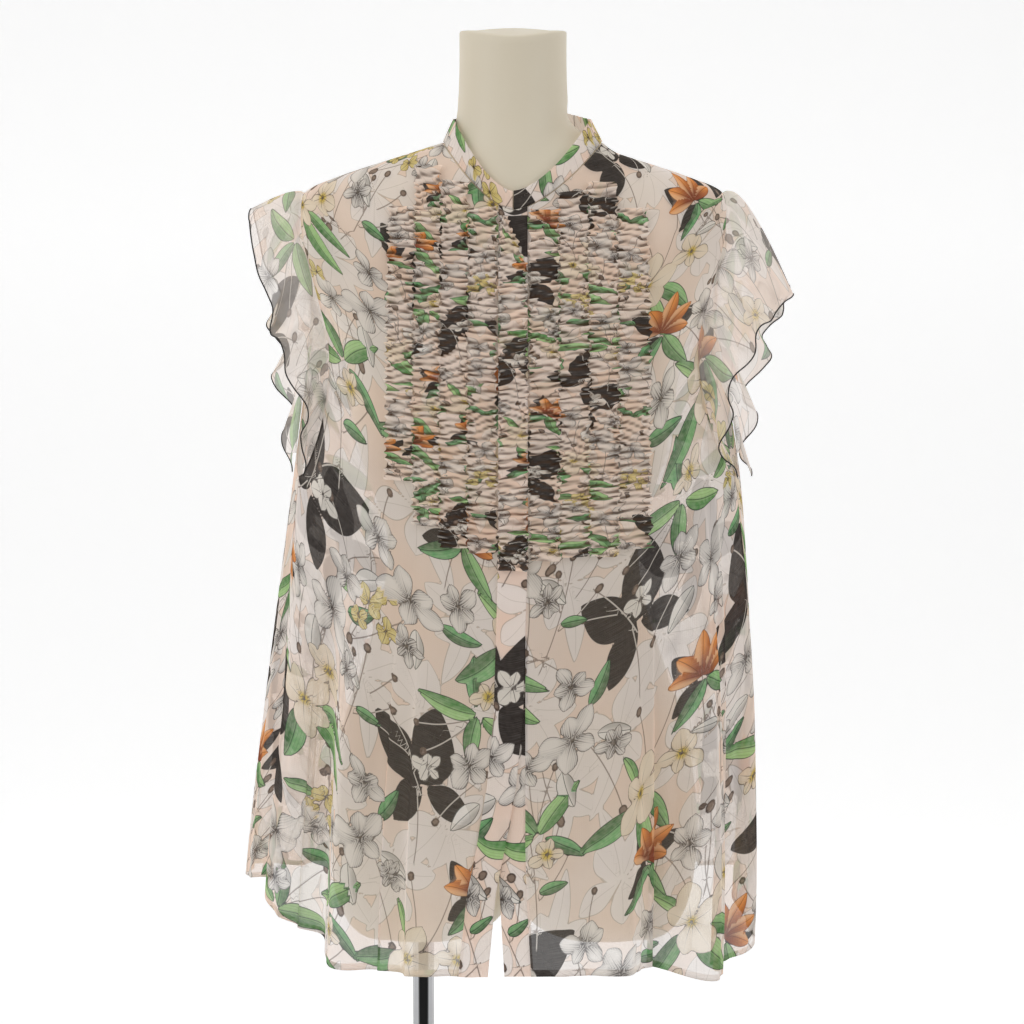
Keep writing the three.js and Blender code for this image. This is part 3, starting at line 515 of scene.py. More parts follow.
def build_print_group():
    board, inside, out = new_group(
        "garden print", [("Wash", "NodeSocketFloat", 1.0)], [("Color", "NodeSocketColor"), ("Ink", "NodeSocketFloat")])
    ghost, shadow, leaf = board.attribute("print_back")
    leaf_side, leaf_tone, lily = board.attribute("print_leaf")
    lily_side, lily_out, flower = board.attribute("print_lily")
    petal_side, petal_out, kind = board.attribute("print_bloom")
    stem_side, stem_near, bud = board.attribute("print_stem")
    ghost_rib, shadow_rib, wash = board.attribute("print_ribs")
    place = board.add("ShaderNodeTexCoord").outputs["Object"]

    def fill(field):
        return board.ramp(field, -SOFT, SOFT)

    def outline(field, half=LINE):
        return board.ramp(board.math("ABSOLUTE", field), half * 0.5, half * 1.6, 1.0, 0.0)

    def times(*values):
        product = values[0]
        for value in values[1:]:
            product = board.math("MULTIPLY", product, value)
        return product

    # ground, silhouettes with a tan line and faint ribs
    fine = board.noise(260.0, 0.0, place)
    color = board.mix(wash, linear("f8dcc8"), linear("f8e4d6"))
    color = board.mix(fill(ghost), color, board.mix(wash, linear("f5e9df"), linear("f8eee8")))
    ghost_line = board.math("MAXIMUM", outline(ghost), times(outline(ghost_rib, 0.28), board.ramp(ghost, 1.0, 4.0), 0.6))
    color = board.mix(times(ghost_line, 0.5), color, linear("9b8b78"))
    ink = times(fill(ghost), 0.12)

    # charcoal shadows, whose stems are left open
    charcoal = board.mix(fine, linear("332e2b"), linear("463f3b"))
    shadow_cover = fill(shadow)
    color = board.mix(shadow_cover, color, charcoal)
    ink = board.math("MAXIMUM", ink, shadow_cover)
    line = times(board.ramp(board.math("ABSOLUTE", stem_side), 0.25, 0.75, 1.0, 0.0), stem_near)
    stem_color = board.mix(shadow_cover, linear("6d5c50"), linear("ded4c8"))
    color = board.mix(times(line, 0.8), color, stem_color)
    ink = board.math("MAXIMUM", times(ink, board.math("SUBTRACT", 1.0, times(line, shadow_cover, 0.4))), times(line, 0.6))
    color = board.mix(fill(bud), color, board.mix(fine, linear("4a403b"), linear("7b675a")))
    color = board.mix(times(board.ramp(bud, 0.9, 1.8), 0.5), color, linear("a58f7d"))
    ink = board.math("MAXIMUM", ink, times(fill(bud), 0.9))

    # leaves: each side of the midrib has its own tone, and pencil leaves are only shaded
    dark_leaf = board.mix(leaf_tone, linear("164a26"), linear("4c8f42"))
    light_leaf = board.mix(leaf_tone, linear("4f9c60"), linear("acd084"))
    leaf_color = board.mix(board.ramp(leaf_side, -3.5, 3.5), dark_leaf, light_leaf)
    leaf_color = board.mix(times(fine, 0.3), leaf_color, linear("dfe4c4"))
    veins = board.ramp(board.math("SINE", times(leaf_side, 2.6)), 0.5, 1.0)
    leaf_color = board.mix(times(veins, 0.22), leaf_color, linear("1c3a22"))
    sketched = board.mix(times(board.ramp(leaf_side, -1.0, 5.0), 0.5), linear("e9e2d9"), linear("7d7671"))
    leaf_color = board.mix(board.ramp(leaf_tone, -0.7, -0.2, 1.0, 0.0), leaf_color, sketched)
    leaf_color = board.mix(times(outline(leaf_side, 0.3), 0.8), leaf_color, linear("22362a"))
    leaf_color = board.mix(times(outline(leaf, 0.45), 0.9), leaf_color, linear("22302a"))
    cover = board.ramp(leaf, -0.6, 0.1)
    color = board.mix(cover, color, leaf_color)
    ink = board.math("MAXIMUM", ink, times(cover, board.ramp(leaf_tone, -0.7, 0.0, 0.45, 0.88)))

    # blossoms: hatched from the heart and from the rim, then veined and outlined
    hatch = board.ramp(board.math("SINE", times(petal_side, 3.6)), 0.0, 0.9)
    deep = board.ramp(petal_out, 2.0, 15.0, 1.0, 0.0)
    rim = board.ramp(flower, 0.3, 3.2, 1.0, 0.0)
    lee = board.ramp(petal_side, -0.5, 4.5)
    shade = board.math("ADD", board.math("ADD", times(deep, 0.85), times(rim, 0.5)), times(lee, 0.35))
    shade = board.math("MULTIPLY", shade, board.math("ADD", times(hatch, 0.6), 0.4), clamp=True)
    pencil = board.mix(shade, linear("f0e8df"), linear("565150"))
    pencil = board.mix(board.ramp(kind, -0.9, -0.4, 0.8, 0.0), pencil, linear("eae2d6"))
    warm = board.mix(times(shade, 0.6), linear("f5e4cc"), linear("ab9068"))
    warm = board.mix(board.ramp(petal_out, 2.5, 7.0, 0.9, 0.0), warm, linear("d3b53a"))
    buttery = board.mix(times(shade, 0.8), linear("eedd98"), linear("ab8d36"))
    bloom = board.mix(board.ramp(kind, 0.3, 0.7), pencil, warm)
    bloom = board.mix(board.ramp(kind, 1.1, 1.4), bloom, buttery)
    bloom = board.mix(board.ramp(petal_out, 0.8, 2.8, 0.85, 0.0), bloom, linear("3b302b"))
    bloom = board.mix(times(outline(petal_side, 0.28), board.ramp(petal_out, 6.0, 20.0, 0.75, 0.1)), bloom, linear("50453e"))
    bloom = board.mix(times(outline(flower, 0.42), 0.85), bloom, linear("4b423d"))
    cover = board.ramp(flower, -0.6, 0.1)
    color = board.mix(cover, color, bloom)
    bloom_ink = board.math("ADD", times(shade, 0.5), 0.28)
    ink = board.math("ADD", times(ink, board.math("SUBTRACT", 1.0, cover)), times(cover, bloom_ink))

    # lilies: a red heart, amber tips, one side of each petal lit
    heart = board.mix(board.ramp(lily_out, 0.15, 0.75), linear("8a4a34"), linear("e8954e"))
    heart = board.mix(times(board.ramp(lily_side, -0.5, 4.0), 0.6), heart, linear("f4c79a"))
    heart = board.mix(times(board.ramp(lily_side, -6.0, -1.0, 1.0, 0.0), 0.5), heart, linear("9a4a2a"))
    heart = board.mix(times(outline(lily_side, 0.3), 0.6), heart, linear("6d3a20"))
    heart = board.mix(times(outline(lily, 0.4), 0.7), heart, linear("5a3324"))
    cover = board.ramp(lily, -0.6, 0.1)
    color = board.mix(cover, color, heart)
    ink = board.math("MAXIMUM", ink, times(cover, 0.85))

    color = board.mix(inside.outputs["Wash"], linear("f2e8e0"), color)
    board.put(out.inputs["Color"], color)
    board.put(out.inputs["Ink"], ink)
    return board.tree


PRINT_GROUP = build_print_group()
print("print group nodes:", len(PRINT_GROUP.nodes))

# %% [markdown]
# Chiffon is a fine plain weave of twisted yarns. Two crossed sets of lines on the cloth's own coordinates make its
# bump, and a slow noise along the weft makes the slubs that show on the dark shadows.

# %% Weave group
THREADS = 1900.0


def build_weave_group():
    board, inside, out = new_group(
        "chiffon weave", [("Strength", "NodeSocketFloat", 1.0)], [("Height", "NodeSocketFloat"), ("Slub", "NodeSocketFloat")])
    uv = board.add("ShaderNodeUVMap", uv_map="cloth").outputs[0]
    split = board.add("ShaderNodeSeparateXYZ")
    board.put(split.inputs[0], uv)
    yarns = [board.math("SINE", board.math("MULTIPLY", split.outputs[n], THREADS * 2)) for n in (0, 1)]
    stretch = board.add("ShaderNodeMapping")
    stretch.inputs["Scale"].default_value = (40.0, 2200.0, 1.0)
    board.put(stretch.inputs["Vector"], uv)
    slub = board.noise(1.0, 0.0, stretch.outputs[0])
    height = board.math("ADD", *yarns)
    board.put(out.inputs["Height"], board.math("MULTIPLY", height, inside.outputs["Strength"]))
    board.put(out.inputs["Slub"], slub)
    return board.tree


WEAVE_GROUP = build_weave_group()


def chiffon(name, clear, dense, painted_glow, wash=1.0, gathered=False):
    """A sheer printed finish: clear is how solid the bare ground is, dense how solid full ink is, and painted_glow is
    painted light, an emission in the cloth's colour that stands in for the light the tent sends through from behind. A
    sheer seen edge-on hides more, so the sides of each fold look denser.
    Gathered cloth lies in layers, so it is warmer; it is also darker where deep, which is painted shade in the valleys
    of the gathers, and its crests get a painted highlight."""
    material, board = new_material(name)
    printed = board.add("ShaderNodeGroup", node_tree=PRINT_GROUP)
    printed.inputs["Wash"].default_value = wash
    weave = board.add("ShaderNodeGroup", node_tree=WEAVE_GROUP)
    color = board.mix(board.ramp(weave.outputs["Slub"], 0.4, 0.75, 0.0, 0.035), printed.outputs["Color"], linear("fbf6f1"))
    if gathered:
        height, _, _ = board.attribute("gather")
        color = board.mix(board.ramp(printed.outputs["Ink"], 0.0, 0.7, 0.42, 0.0), color, linear("f3d0b2"))
        # painted shade: the valleys of the gathers are darkened towards a deep brown
        color = board.mix(board.ramp(height, -0.75, 0.3, 0.82, 0.0), color, linear("4f3b2c"))
        # painted highlight: the crests of the gathers are lightened
        color = board.mix(board.ramp(height, 0.35, 0.9, 0.0, 0.3), color, linear("fdf3e8"))
    shader = board.add("ShaderNodeBsdfPrincipled")
    shader.inputs["Roughness"].default_value = 0.8
    shader.inputs["Specular IOR Level"].default_value = 0.0
    board.put(shader.inputs["Base Color"], color)
    board.put(shader.inputs["Emission Color"], color)
    # painted light: the cloth emits its own colour, standing in for light that comes through it from behind
    shader.inputs["Emission Strength"].default_value = painted_glow
    solid = board.ramp(printed.outputs["Ink"], 0.0, 1.0, clear, dense)
    grazing = board.math("POWER", board.add("ShaderNodeLayerWeight").outputs["Facing"], 2.2)
    board.put(shader.inputs["Alpha"], board.math("ADD", solid, board.math("MULTIPLY", grazing, board.math("SUBTRACT", 0.96, solid))))
    bump = board.add("ShaderNodeBump")
    bump.inputs["Strength"].default_value = 0.25
    bump.inputs["Distance"].default_value = 0.0002
    board.put(bump.inputs["Height"], weave.outputs["Height"])
    board.put(shader.inputs["Normal"], bump.outputs[0])
    board.put(board.add("ShaderNodeOutputMaterial").inputs[0], shader.outputs[0])
    return material


# the last number of each finish is its painted glow, an emission standing in for light through the cloth
SHEER = chiffon("sheer chiffon", 0.6, 0.9, 0.1)
BAND = chiffon("folded band chiffon", 0.66, 0.92, 0.1)
GATHERED = chiffon("gathered chiffon", 0.78, 0.97, 0.1, gathered=True)
FLUTED = chiffon("fluted chiffon", 0.62, 0.84, 0.16, wash=0.75)

# %% Plain finishes: satin form, polished steel, black thread
def satin_form():
    """Cream fibreglass with a satin coat: faint mottling in colour, and the orange-peel of sprayed paint."""
    material, board = new_material("cream satin form")
    place = board.add("ShaderNodeTexCoord").outputs["Object"]
    shader = board.add("ShaderNodeBsdfPrincipled")
    board.put(shader.inputs["Base Color"], board.mix(board.noise(9.0, 3.0, place), linear("ebdfc7"), linear("f0e6d1")))
    board.put(shader.inputs["Roughness"], board.ramp(board.noise(40.0, 2.0, place), 0.3, 0.7, 0.42, 0.54))
    shader.inputs["Specular IOR Level"].default_value = 0.4
    bump = board.add("ShaderNodeBump")
    bump.inputs["Strength"].default_value = 0.08
    bump.inputs["Distance"].default_value = 0.0004
    board.put(bump.inputs["Height"], board.noise(420.0, 2.0, place))
    board.put(shader.inputs["Normal"], bump.outputs[0])
    board.put(board.add("ShaderNodeOutputMaterial").inputs[0], shader.outputs[0])
    return material


def steel(name, rough, shade, painted_reflection=None):
    """Polished steel with faint handling marks in its roughness. A painted_reflection colour, where one is given, is
    painted in as a reflection: in a light tent the side that faces the photographer mirrors the dark end of the room,
    so that side is painted darker, a bright line runs up each side of it, and the grazing edges are painted a darker
    grey."""
    material, board = new_material(name)
    place = board.add("ShaderNodeTexCoord").outputs["Object"]
    shader = board.add("ShaderNodeBsdfPrincipled")
    shader.inputs["Metallic"].default_value = 1.0
    color = board.mix(board.noise(30.0, 2.0, place), linear(shade), linear("d7d8da"))
    if painted_reflection:
        facing = board.add("ShaderNodeLayerWeight").outputs["Facing"]
        # painted reflection: dark where the steel faces the camera, the metal's own shade in a line each side, darker
        # grey at the grazing edges
        color = board.mix(board.ramp(facing, 0.1, 0.2), linear(painted_reflection), color)
        color = board.mix(board.ramp(facing, 0.55, 0.8), color, linear("4a4b4e"))
    board.put(shader.inputs["Base Color"], color)
    board.put(shader.inputs["Roughness"], board.ramp(board.noise(90.0, 4.0, place), 0.35, 0.75, rough, rough + 0.12))
    board.put(board.add("ShaderNodeOutputMaterial").inputs[0], shader.outputs[0])
    return material


def thread(name, shade, light):
    """Overlock thread: dark, slightly glossy, with the twist as stripes along its run."""
    material, board = new_material(name)
    split = board.add("ShaderNodeSeparateXYZ")
    board.put(split.inputs[0], board.add("ShaderNodeUVMap", uv_map="cloth").outputs[0])
    twist = board.math("SINE", board.math("ADD", board.math("MULTIPLY", split.outputs[0], 5200.0), board.math("MULTIPLY", split.outputs[1], 2500.0)))
    shader = board.add("ShaderNodeBsdfPrincipled")
    board.put(shader.inputs["Base Color"], board.mix(board.ramp(twist, -0.6, 0.8), linear(shade), linear(light)))
    shader.inputs["Roughness"].default_value = 0.55
    bump = board.add("ShaderNodeBump")
    bump.inputs["Strength"].default_value = 0.5
    bump.inputs["Distance"].default_value = 0.0003
    board.put(bump.inputs["Height"], twist)
    board.put(shader.inputs["Normal"], bump.outputs[0])
    board.put(board.add("ShaderNodeOutputMaterial").inputs[0], shader.outputs[0])
    return material


FORM_FINISH = satin_form()
# the pole's last colour is its painted reflection of the dark end of the room
CHROME = steel("polished chrome", 0.05, "c4c5c8", "262626")
PLATE_STEEL = steel("brushed plate", 0.24, "a9abae")
BLACK_THREAD = thread("black overlock thread", "14110f", "332c28")

# %% [markdown]
# ## Body of the blouse
# The two fronts and the back are cut at the side seams, the shoulders and round the armholes. A lens-shaped hole leaves
# the armhole open. Each panel knows its own cloth coordinates: the length round the body from the centre, and the
# length down from the neckline, so the print isn't stretched where the panel flares.

# %% Panels
CLOTH, SEAM_GAP = 1.0, 0.5
ARMHOLE_HALF, ARMHOLE_DRIFT = 23, -17
PLACKET_WIDTH, BAND_LAP, LAYER_GAP = 25, 2, 0.4
PLACKET_Z = np.array([278, 350, 390, 440, 500, 640, 940], float)
PLACKET_OVER = np.array([-34, -27, -19, -10, -4, 0, 0], float)
PLACKET_UNDER = np.array([5, 1, 0, 0, 0, 0, 0], float)
TOP_RING = 0.03


def armhole_edges(at):
    """The two edges of the armhole, in degrees at the wearer's left: a lens, the root of a sine, whose middle drifts."""
    t = (at - SHOULDER_POINT) / (UNDERARM - SHOULDER_POINT)
    inner = np.clip(t, 0, 1)
    middle = ARMHOLE_DRIFT * smooth(t)
    opening = ARMHOLE_HALF * np.minimum(1, np.sqrt(np.maximum(0, np.sin(np.pi * inner ** 0.8))) * 1.02)
    return middle - opening, middle + opening


def inset(at):
    return np.degrees(SEAM_GAP / 2 / column(RINGS["left"], at))


def band_middle(z, which):
    return np.interp(z, PLACKET_Z, which)


def front_edge(at, right):
    z = column(RINGS["front"], at)
    reach = PLACKET_WIDTH / 2 - BAND_LAP
    return degrees_at_x(band_middle(z, PLACKET_OVER) - reach, at) if right else degrees_at_x(band_middle(z, PLACKET_UNDER) + reach, at)


def cloth_coordinates(points, start_s, mirror=1):
    """Length round the body from the row's first point, without the rows' rise, and length down each column."""
    flat = points.copy()
    flat[..., 2] = 0
    s = start_s + mirror * lengths_along(flat, 1)
    t = points[:1, :, 2] - lengths_along(points, 0)
    return s, t


PANEL_SHIFT = {"front_right": (105, 194), "front_left": (286, 74), "back": (96, 210)}
HEM_FOLD, SEAM_FOLD = 0.075, 6.0


def turned_back(count, fold, steps=3):
    """Shares along a side that end in a turned edge: out to the end, then back by fold; and how far behind each lies."""
    there = np.linspace(0, 1, count)
    back = 1 - fold * np.linspace(0.08, 1, steps)
    return np.concatenate([there, back]), np.concatenate([np.zeros(count), np.full(steps, 0.45)])


def panel(name, degrees_of, rows, columns, start_s, mirror=1, seams=(True,)):
    """One body panel: a grid of ring against share round the body, with a hem and seam turned back behind it."""
    v, hem_behind = turned_back(rows, HEM_FOLD / HEM)
    u, seam_behind = turned_back(columns, SEAM_FOLD / 320)
    if len(seams) == 2:
        u = np.concatenate([1 - u[:columns - 1:-1], u])
        seam_behind = np.concatenate([seam_behind[:columns - 1:-1], seam_behind])
    at, u = np.meshgrid(TOP_RING + (HEM - TOP_RING) * v, u, indexing="ij")
    degrees = degrees_of(u, at)
    behind = hem_behind[:, None] + seam_behind[None]
    points = cloth(degrees, at) - cloth_normal(degrees, at) * behind[..., None]
    s, t = cloth_coordinates(points, start_s, mirror)
    if len(seams) == 2:  # cut on the fold: the print runs straight down the middle
        s = s - s[:, s.shape[1] // 2][:, None]
    shift = PANEL_SHIFT[name]
    piece = mesh_piece(name + "_cloth", points, grid_faces(*at.shape), np.stack([s, t], -1),
                       print_fields(s + shift[0], t + shift[1]), inward_of=(0, 0, 600))
    piece.data.materials.append(SHEER)
    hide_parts(name)
    return piece


def front_degrees(right):
    def degrees_of(u, at):
        outer = armhole_edges(at)[0] - inset(at)
        edge = front_edge(at, right)
        return edge + (np.where(right, -180 - outer, outer) - edge) * u
    return degrees_of


def back_degrees(u, at):
    edge = armhole_edges(at)[1] + inset(at)
    return edge + (180 - 2 * edge) * u


panel("front_right", front_degrees(True), 380, 180, -12, -1)
panel("front_left", front_degrees(False), 380, 180, 12)
panel("back", back_degrees, 320, 280, -250, seams=(True, True))

# %% [markdown]
# The button front is a folded band over a hidden one. A band is a strip of the same rings, turned back on itself at
# both edges, so two layers of chiffon are seen through, which makes the band look more solid than the fronts.

# %% Bands of the button front
def wrapped_band(name, which, lift, rows=420, across=18):
    """A flat sleeve: its section runs over the outer face and back along the inner one, half a millimetre behind."""
    there = np.linspace(-0.5, 0.5, across)
    u = np.concatenate([there, there[::-1]])
    depth = np.concatenate([np.zeros(across), np.full(across, 0.5)])
    depth[[0, across - 1, across, -1]] = (0.18, 0.18, 0.32, 0.32)
    at, u = np.meshgrid(np.linspace(TOP_RING, HEM, rows), u, indexing="ij")
    x = band_middle(column(RINGS["front"], at), which) + u * PLACKET_WIDTH
    degrees = degrees_at_x(x, at)
    points = cloth(degrees, at) + cloth_normal(degrees, at) * (lift - depth)[..., None]
    t = lengths_along(points, 0)
    s = u * PLACKET_WIDTH
    piece = mesh_piece(name + "_cloth", points, grid_faces(rows, 2 * across, wrap=True), np.stack([s, t], -1),
                       print_fields(s + 192, -t + 118), inward_of=(0, 0, 600))
    piece.data.materials.append(BAND)
    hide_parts(name)
    print(name, "length", round(float(t.max())), "mm")


wrapped_band("placket_overlap", PLACKET_OVER, CLOTH + LAYER_GAP)
wrapped_band("placket_underlap", PLACKET_UNDER, -CLOTH - LAYER_GAP + 0.5)

# %% [markdown]
# The bib is nine narrow strips, each gathered on a thread and sewn down its middle, side by side. Gathers aren't even:
# their pitch wanders, some are deeper, and they fan out towards the strip's two free edges. The print was on the cloth
# before it was gathered, so it shows squeezed: the length down a strip is measured along the gathers.

# %% Gathered strips
STRIPS = {
    # inner edge, outer edge, bottom, top (None: just under the neckline)
    "ruffle_right_1": (-14.5, -38, 640, None), "ruffle_right_2": (-39, -61.5, 644, None),
    "ruffle_right_3": (-62.5, -84, 662, 966), "ruffle_right_4": (-85, -107, 700, 932),
    "ruffle_left_1": (14.5, 39, 633, None), "ruffle_left_2": (40, 64, 636, None),
    "ruffle_left_3": (65, 89, 636, 952), "ruffle_left_4": (90, 116, 642, 930),
    "ruffle_placket": (-11.5, 11.5, 625, 923),
}
STRIP_LIFT, STRIP_SWELL, STRIP_WAVES = 1.5, 3.2, 14
GATHER_PITCH, SECOND_PITCH = 6.3, 4.1
TAPER, TAPER_FROM = 16, 882
PRINT_SQUEEZE = 1.9


def strip_top(x):
    """Height just under the neckline, or under the shoulder slope beside it, at a given x."""
    at = np.arange(0, 3.001, 0.02)
    outside = np.nonzero(column(RINGS["left"], at) >= abs(x))[0]
    low = at[outside[0]] if len(outside) else 3.0
    return float(cloth(degrees_at_x(x, low), low)[..., 2]) - (14 if low > 0 else 5)


def front_grid(x, z):
    """Degrees and ring of the front at each column's x and each row's z, read off a fine table of heights."""
    steps = np.linspace(0, HEM, 900)
    rings = np.empty((len(z), len(x)))
    for n, place in enumerate(x):
        start = np.argmax(column(RINGS["left"], steps) >= abs(place))
        heights = cloth(degrees_at_x(place, steps[start:]), steps[start:])[..., 2]
        rings[:, n] = np.interp(-z, -heights, steps[start:])
    return degrees_at_x(np.broadcast_to(x, rings.shape), rings), rings


def gathered_strip(name, number, rows=600, across=17):
    """A strip over the front: lift + slow swell + gathers. It is sewn down its middle and both edges stand free. The
    gathers are a sine whose phase wanders by slower sines, differently towards each edge, and whose height grows from
    the sewn line to the edges, where the cloth also sways sideways."""
    inner, outer, bottom, top = STRIPS[name]
    top = top or min(strip_top(inner), strip_top(outer))
    z = np.linspace(top, bottom, rows)
    u = np.linspace(0, 1, across)
    degrees, rings = front_grid(inner + (outer - inner) * u, z)
    seat = cloth(degrees, rings)
    normal = cloth_normal(degrees, rings)
    v, u = np.meshgrid((top - z) / (top - bottom), u, indexing="ij")
    run = v * (top - bottom)
    free = np.abs(u - 0.5) * 2
    hand = np.where(u < 0.5, 1.0, -1.4)
    wander = 1.6 * np.sin(run / 19 + 2.1 * number) + 1.2 * np.sin(run / 7.1 + 1.3 * number)
    fan = free * (1.6 * np.sin(run / 9.3 + number * 1.7 + hand) + hand * (0.8 + 1.5 * np.sin(run / 23 + 0.9 * number)))
    phase = 2 * np.pi * run / GATHER_PITCH + wander + fan + 0.7 * np.sin(8 * u + run / 6)
    second = 2 * np.pi * run / SECOND_PITCH + 2.2 * np.sin(run / 12.7 + number) - 1.7 * fan + 6 * u
    uneven = np.clip(0.55 + 0.5 * np.sin(run / 5.9 + 3.3 * number + 1.9 * hand), 0.15, 1)
    height = 0.5 + 2.7 * free ** 1.2 * uneven
    wave = 0.66 * np.sin(phase) + (0.2 + 0.3 * free) * np.sin(second)
    swell = STRIP_SWELL * (0.5 + 0.32 * np.sin(2 * np.pi * (STRIP_WAVES * v + 0.18 * u)))
    lift = STRIP_LIFT + (CLOTH + LAYER_GAP if name == "ruffle_placket" else 0) + swell + height * wave
    points = seat + normal * np.maximum(lift, 0.45)[..., None]
    sway = 0.5 + 1.1 * np.cos(phase) + 0.8 * np.sin(run / 3.3 + number * hand)
    points[..., 0] += np.sign((outer - inner) * (u - 0.5)) * free ** 2 * sway
    points[..., 2] += 0.9 * free * np.sin(phase * 0.5 + number + hand)
    if name == "ruffle_placket":
        narrow = TAPER * np.maximum(0, (points[..., 2] - TAPER_FROM) / (top - TAPER_FROM))
        points[..., 0] -= narrow * u
    length = lengths_along(points, 0).mean(1, keepdims=True) * PRINT_SQUEEZE
    t = np.broadcast_to(length, points.shape[:2]) + 4 * wave * (0.4 + free)
    s = (outer - inner) * u
    # the gather attribute holds the height of the gathers, which the finish turns into painted shade in the valleys and
    # a painted highlight on the crests
    piece = mesh_piece(name + "_cloth", points, grid_faces(rows, across), np.stack([s, t], -1),
                       {**print_fields(s * 1.5 + 47 * number + 3.5 * wave * free, 40 + 61 * number - t),
                        "gather": np.stack([wave * (0.5 + 0.5 * free), free, 0 * u], -1)}, inward_of=(0, 60, 800))
    piece.data.materials.append(GATHERED)
    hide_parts(name)
    full = float(lengths_along(points, 0).mean(1)[-1])
    return full / (top - bottom)


for number, name in enumerate(STRIPS):
    print(name, "fullness", round(gathered_strip(name, number), 2))

# %% [markdown]
# The stand collar is a folded band on the neckline. It leans in towards the neck and its ends meet over the button
# front. Its section runs up the outside, over the fold and down the inside.

# %% Stand collar
COLLAR = dict(height=20, right_lean=-9, left_lean=-10, front_lean=5, back_lean=-4, back_rise=22, front_rise=16)


def collar_surface(degrees, v):
    """The neckline's ring, raised by its share of the rise there and drawn in by the lean."""
    foot = ring_point({key: RINGS[key][0] for key in RING_COLUMNS}, degrees, SQUARENESS)
    c, s = np.cos(np.radians(degrees)), np.sin(np.radians(degrees))
    end = np.where(s < 0, COLLAR["front_rise"], COLLAR["back_rise"])
    foot[..., 2] += 0.8 + (end + (COLLAR["height"] - end) * c * c) * v
    foot[..., 0] += np.where(c < 0, COLLAR["right_lean"], COLLAR["left_lean"]) * c * v
    foot[..., 1] += np.where(s < 0, -COLLAR["front_lean"], COLLAR["back_lean"]) * s * v
    return foot


def stand_collar(columns=420, up=14):
    """Outer face, fold and inner face as one sleeve of rings, with a faint pucker from the seam."""
    rise = np.linspace(0, 1, up)
    v = np.concatenate([rise, rise[::-1]])
    behind = np.concatenate([np.zeros(up), np.full(up, 0.8)])
    behind[[up - 1, up]] = (0.22, 0.58)
    u, v = np.meshgrid(np.linspace(-89.8, 269.8, columns), v, indexing="ij")
    points = collar_surface(u, v)
    out = unit(np.cross(collar_surface(u + 0.5, v) - collar_surface(u - 0.5, v), collar_surface(u, v + 0.02) - collar_surface(u, v - 0.02)))
    pucker = 0.32 * np.sin(u * 1.9 + 2 * np.sin(u / 9)) * (1 - v) + 0.25 * np.sin(u * 0.7 + 1) * v
    points += out * (pucker - behind)[..., None]
    s = lengths_along(points[:, :1].repeat(2 * up, 1), 0)
    t = 21 * v
    piece = mesh_piece("collar_cloth", points, grid_faces(columns, 2 * up, wrap=True), np.stack([s, t], -1),
                       print_fields(s + 40, t + 216), inward_of=(0, 0, 985))
    piece.data.materials.append(BAND)
    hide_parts("collar")
    print("collar length", round(float(s.max())), "mm")


stand_collar()

# %% [markdown]
# Each flounce is a long crescent, so its outer edge is far longer than its sewn edge and falls in flutes. A curve
# with three handles carries the cloth out from the armhole, up a little and down to its edge, and the flutes grow with
# the square of the way down. They are calmer over the shoulder, where the crescent is cut straighter. A dark
# overlocked thread runs round its edge.

# %% Flounces
FLOUNCE_WAVES, FLOUNCE_WAVE_HEIGHT, FLOUNCE_ROOT, FLOUNCE_CALM = 8.5, 11, 2, 0.65
# out, ahead, down and rise at nine even places: underarm, over the shoulder point, underarm again
FLOUNCES = {
    "flounce_left": np.array([(7, 7, 16, 3), (18, 18, 34, 8), (36, 30, 30, 14), (43, 36, 48, 18), (62, 2, 78, 20),
                              (55, -28, 60, 20), (42, -30, 52, 14), (22, -18, 46, 10), (8, -7, 18, 3)], float),
    "flounce_right": np.array([(7, 7, 13, 3), (18, 16, 26, 8), (36, 26, 24, 14), (30, 36, 40, 14), (45, 10, 16, 10),
                               (32, -32, 44, 14), (32, -32, 46, 14), (18, -20, 36, 8), (7, -7, 13, 3)], float),
}


def seam_point(along, side, tuck=7):
    """The armhole's seam: forward edge of the lens from the underarm up, then its back edge down again. A tuck
    below 1 lies over the panel."""
    ahead = along < 0.5
    share = np.where(ahead, along * 2, (1 - along) * 2)
    at = UNDERARM - 0.1 + (SHOULDER_POINT + 0.05 - UNDERARM + 0.1) * share
    low, high = armhole_edges(at)
    turn = np.where(ahead, low + inset(at) * tuck, high - inset(at) * tuck)
    degrees = turn if side > 0 else 180 - turn
    return cloth(degrees, at), cloth_normal(degrees, at)


def flounce_surface(table, side, along, v):
    """(1 - v)^2 root + 2 v (1 - v) lift + v^2 edge, moved across the fall by the flutes times v^2."""
    seam, normal = seam_point(along, side)
    out, ahead, down, rise = (column(table[:, n], along * 8)[..., None] for n in range(4))
    root = seam + normal * FLOUNCE_ROOT
    edge = seam + np.concatenate([side * out, -ahead, -down], -1)
    lift = seam + normal * (rise + FLOUNCE_ROOT)
    w = v[..., None]
    p = root * (1 - w) ** 2 + lift * 2 * w * (1 - w) + edge * w * w
    across = unit(np.cross(seam_point(along + 0.02, side)[0] - seam_point(along - 0.02, side)[0], unit(edge - seam)))
    full = np.minimum(1, np.linalg.norm(edge - seam, axis=-1) / 60)
    flute = np.sin(2 * np.pi * FLOUNCE_WAVES * along + 0.6 * np.sin(5 * along))
    flute = flute * (1 - FLOUNCE_CALM * np.exp(-(((along - 0.45) / 0.14) ** 2)))
    fine = 0.07 * np.sin(2 * np.pi * 26 * along + 2 * np.sin(9 * along))
    return p + across * (FLOUNCE_WAVE_HEIGHT * full * (flute * v * np.abs(v) + fine * v * (1.3 - v * 0.5)))[..., None]


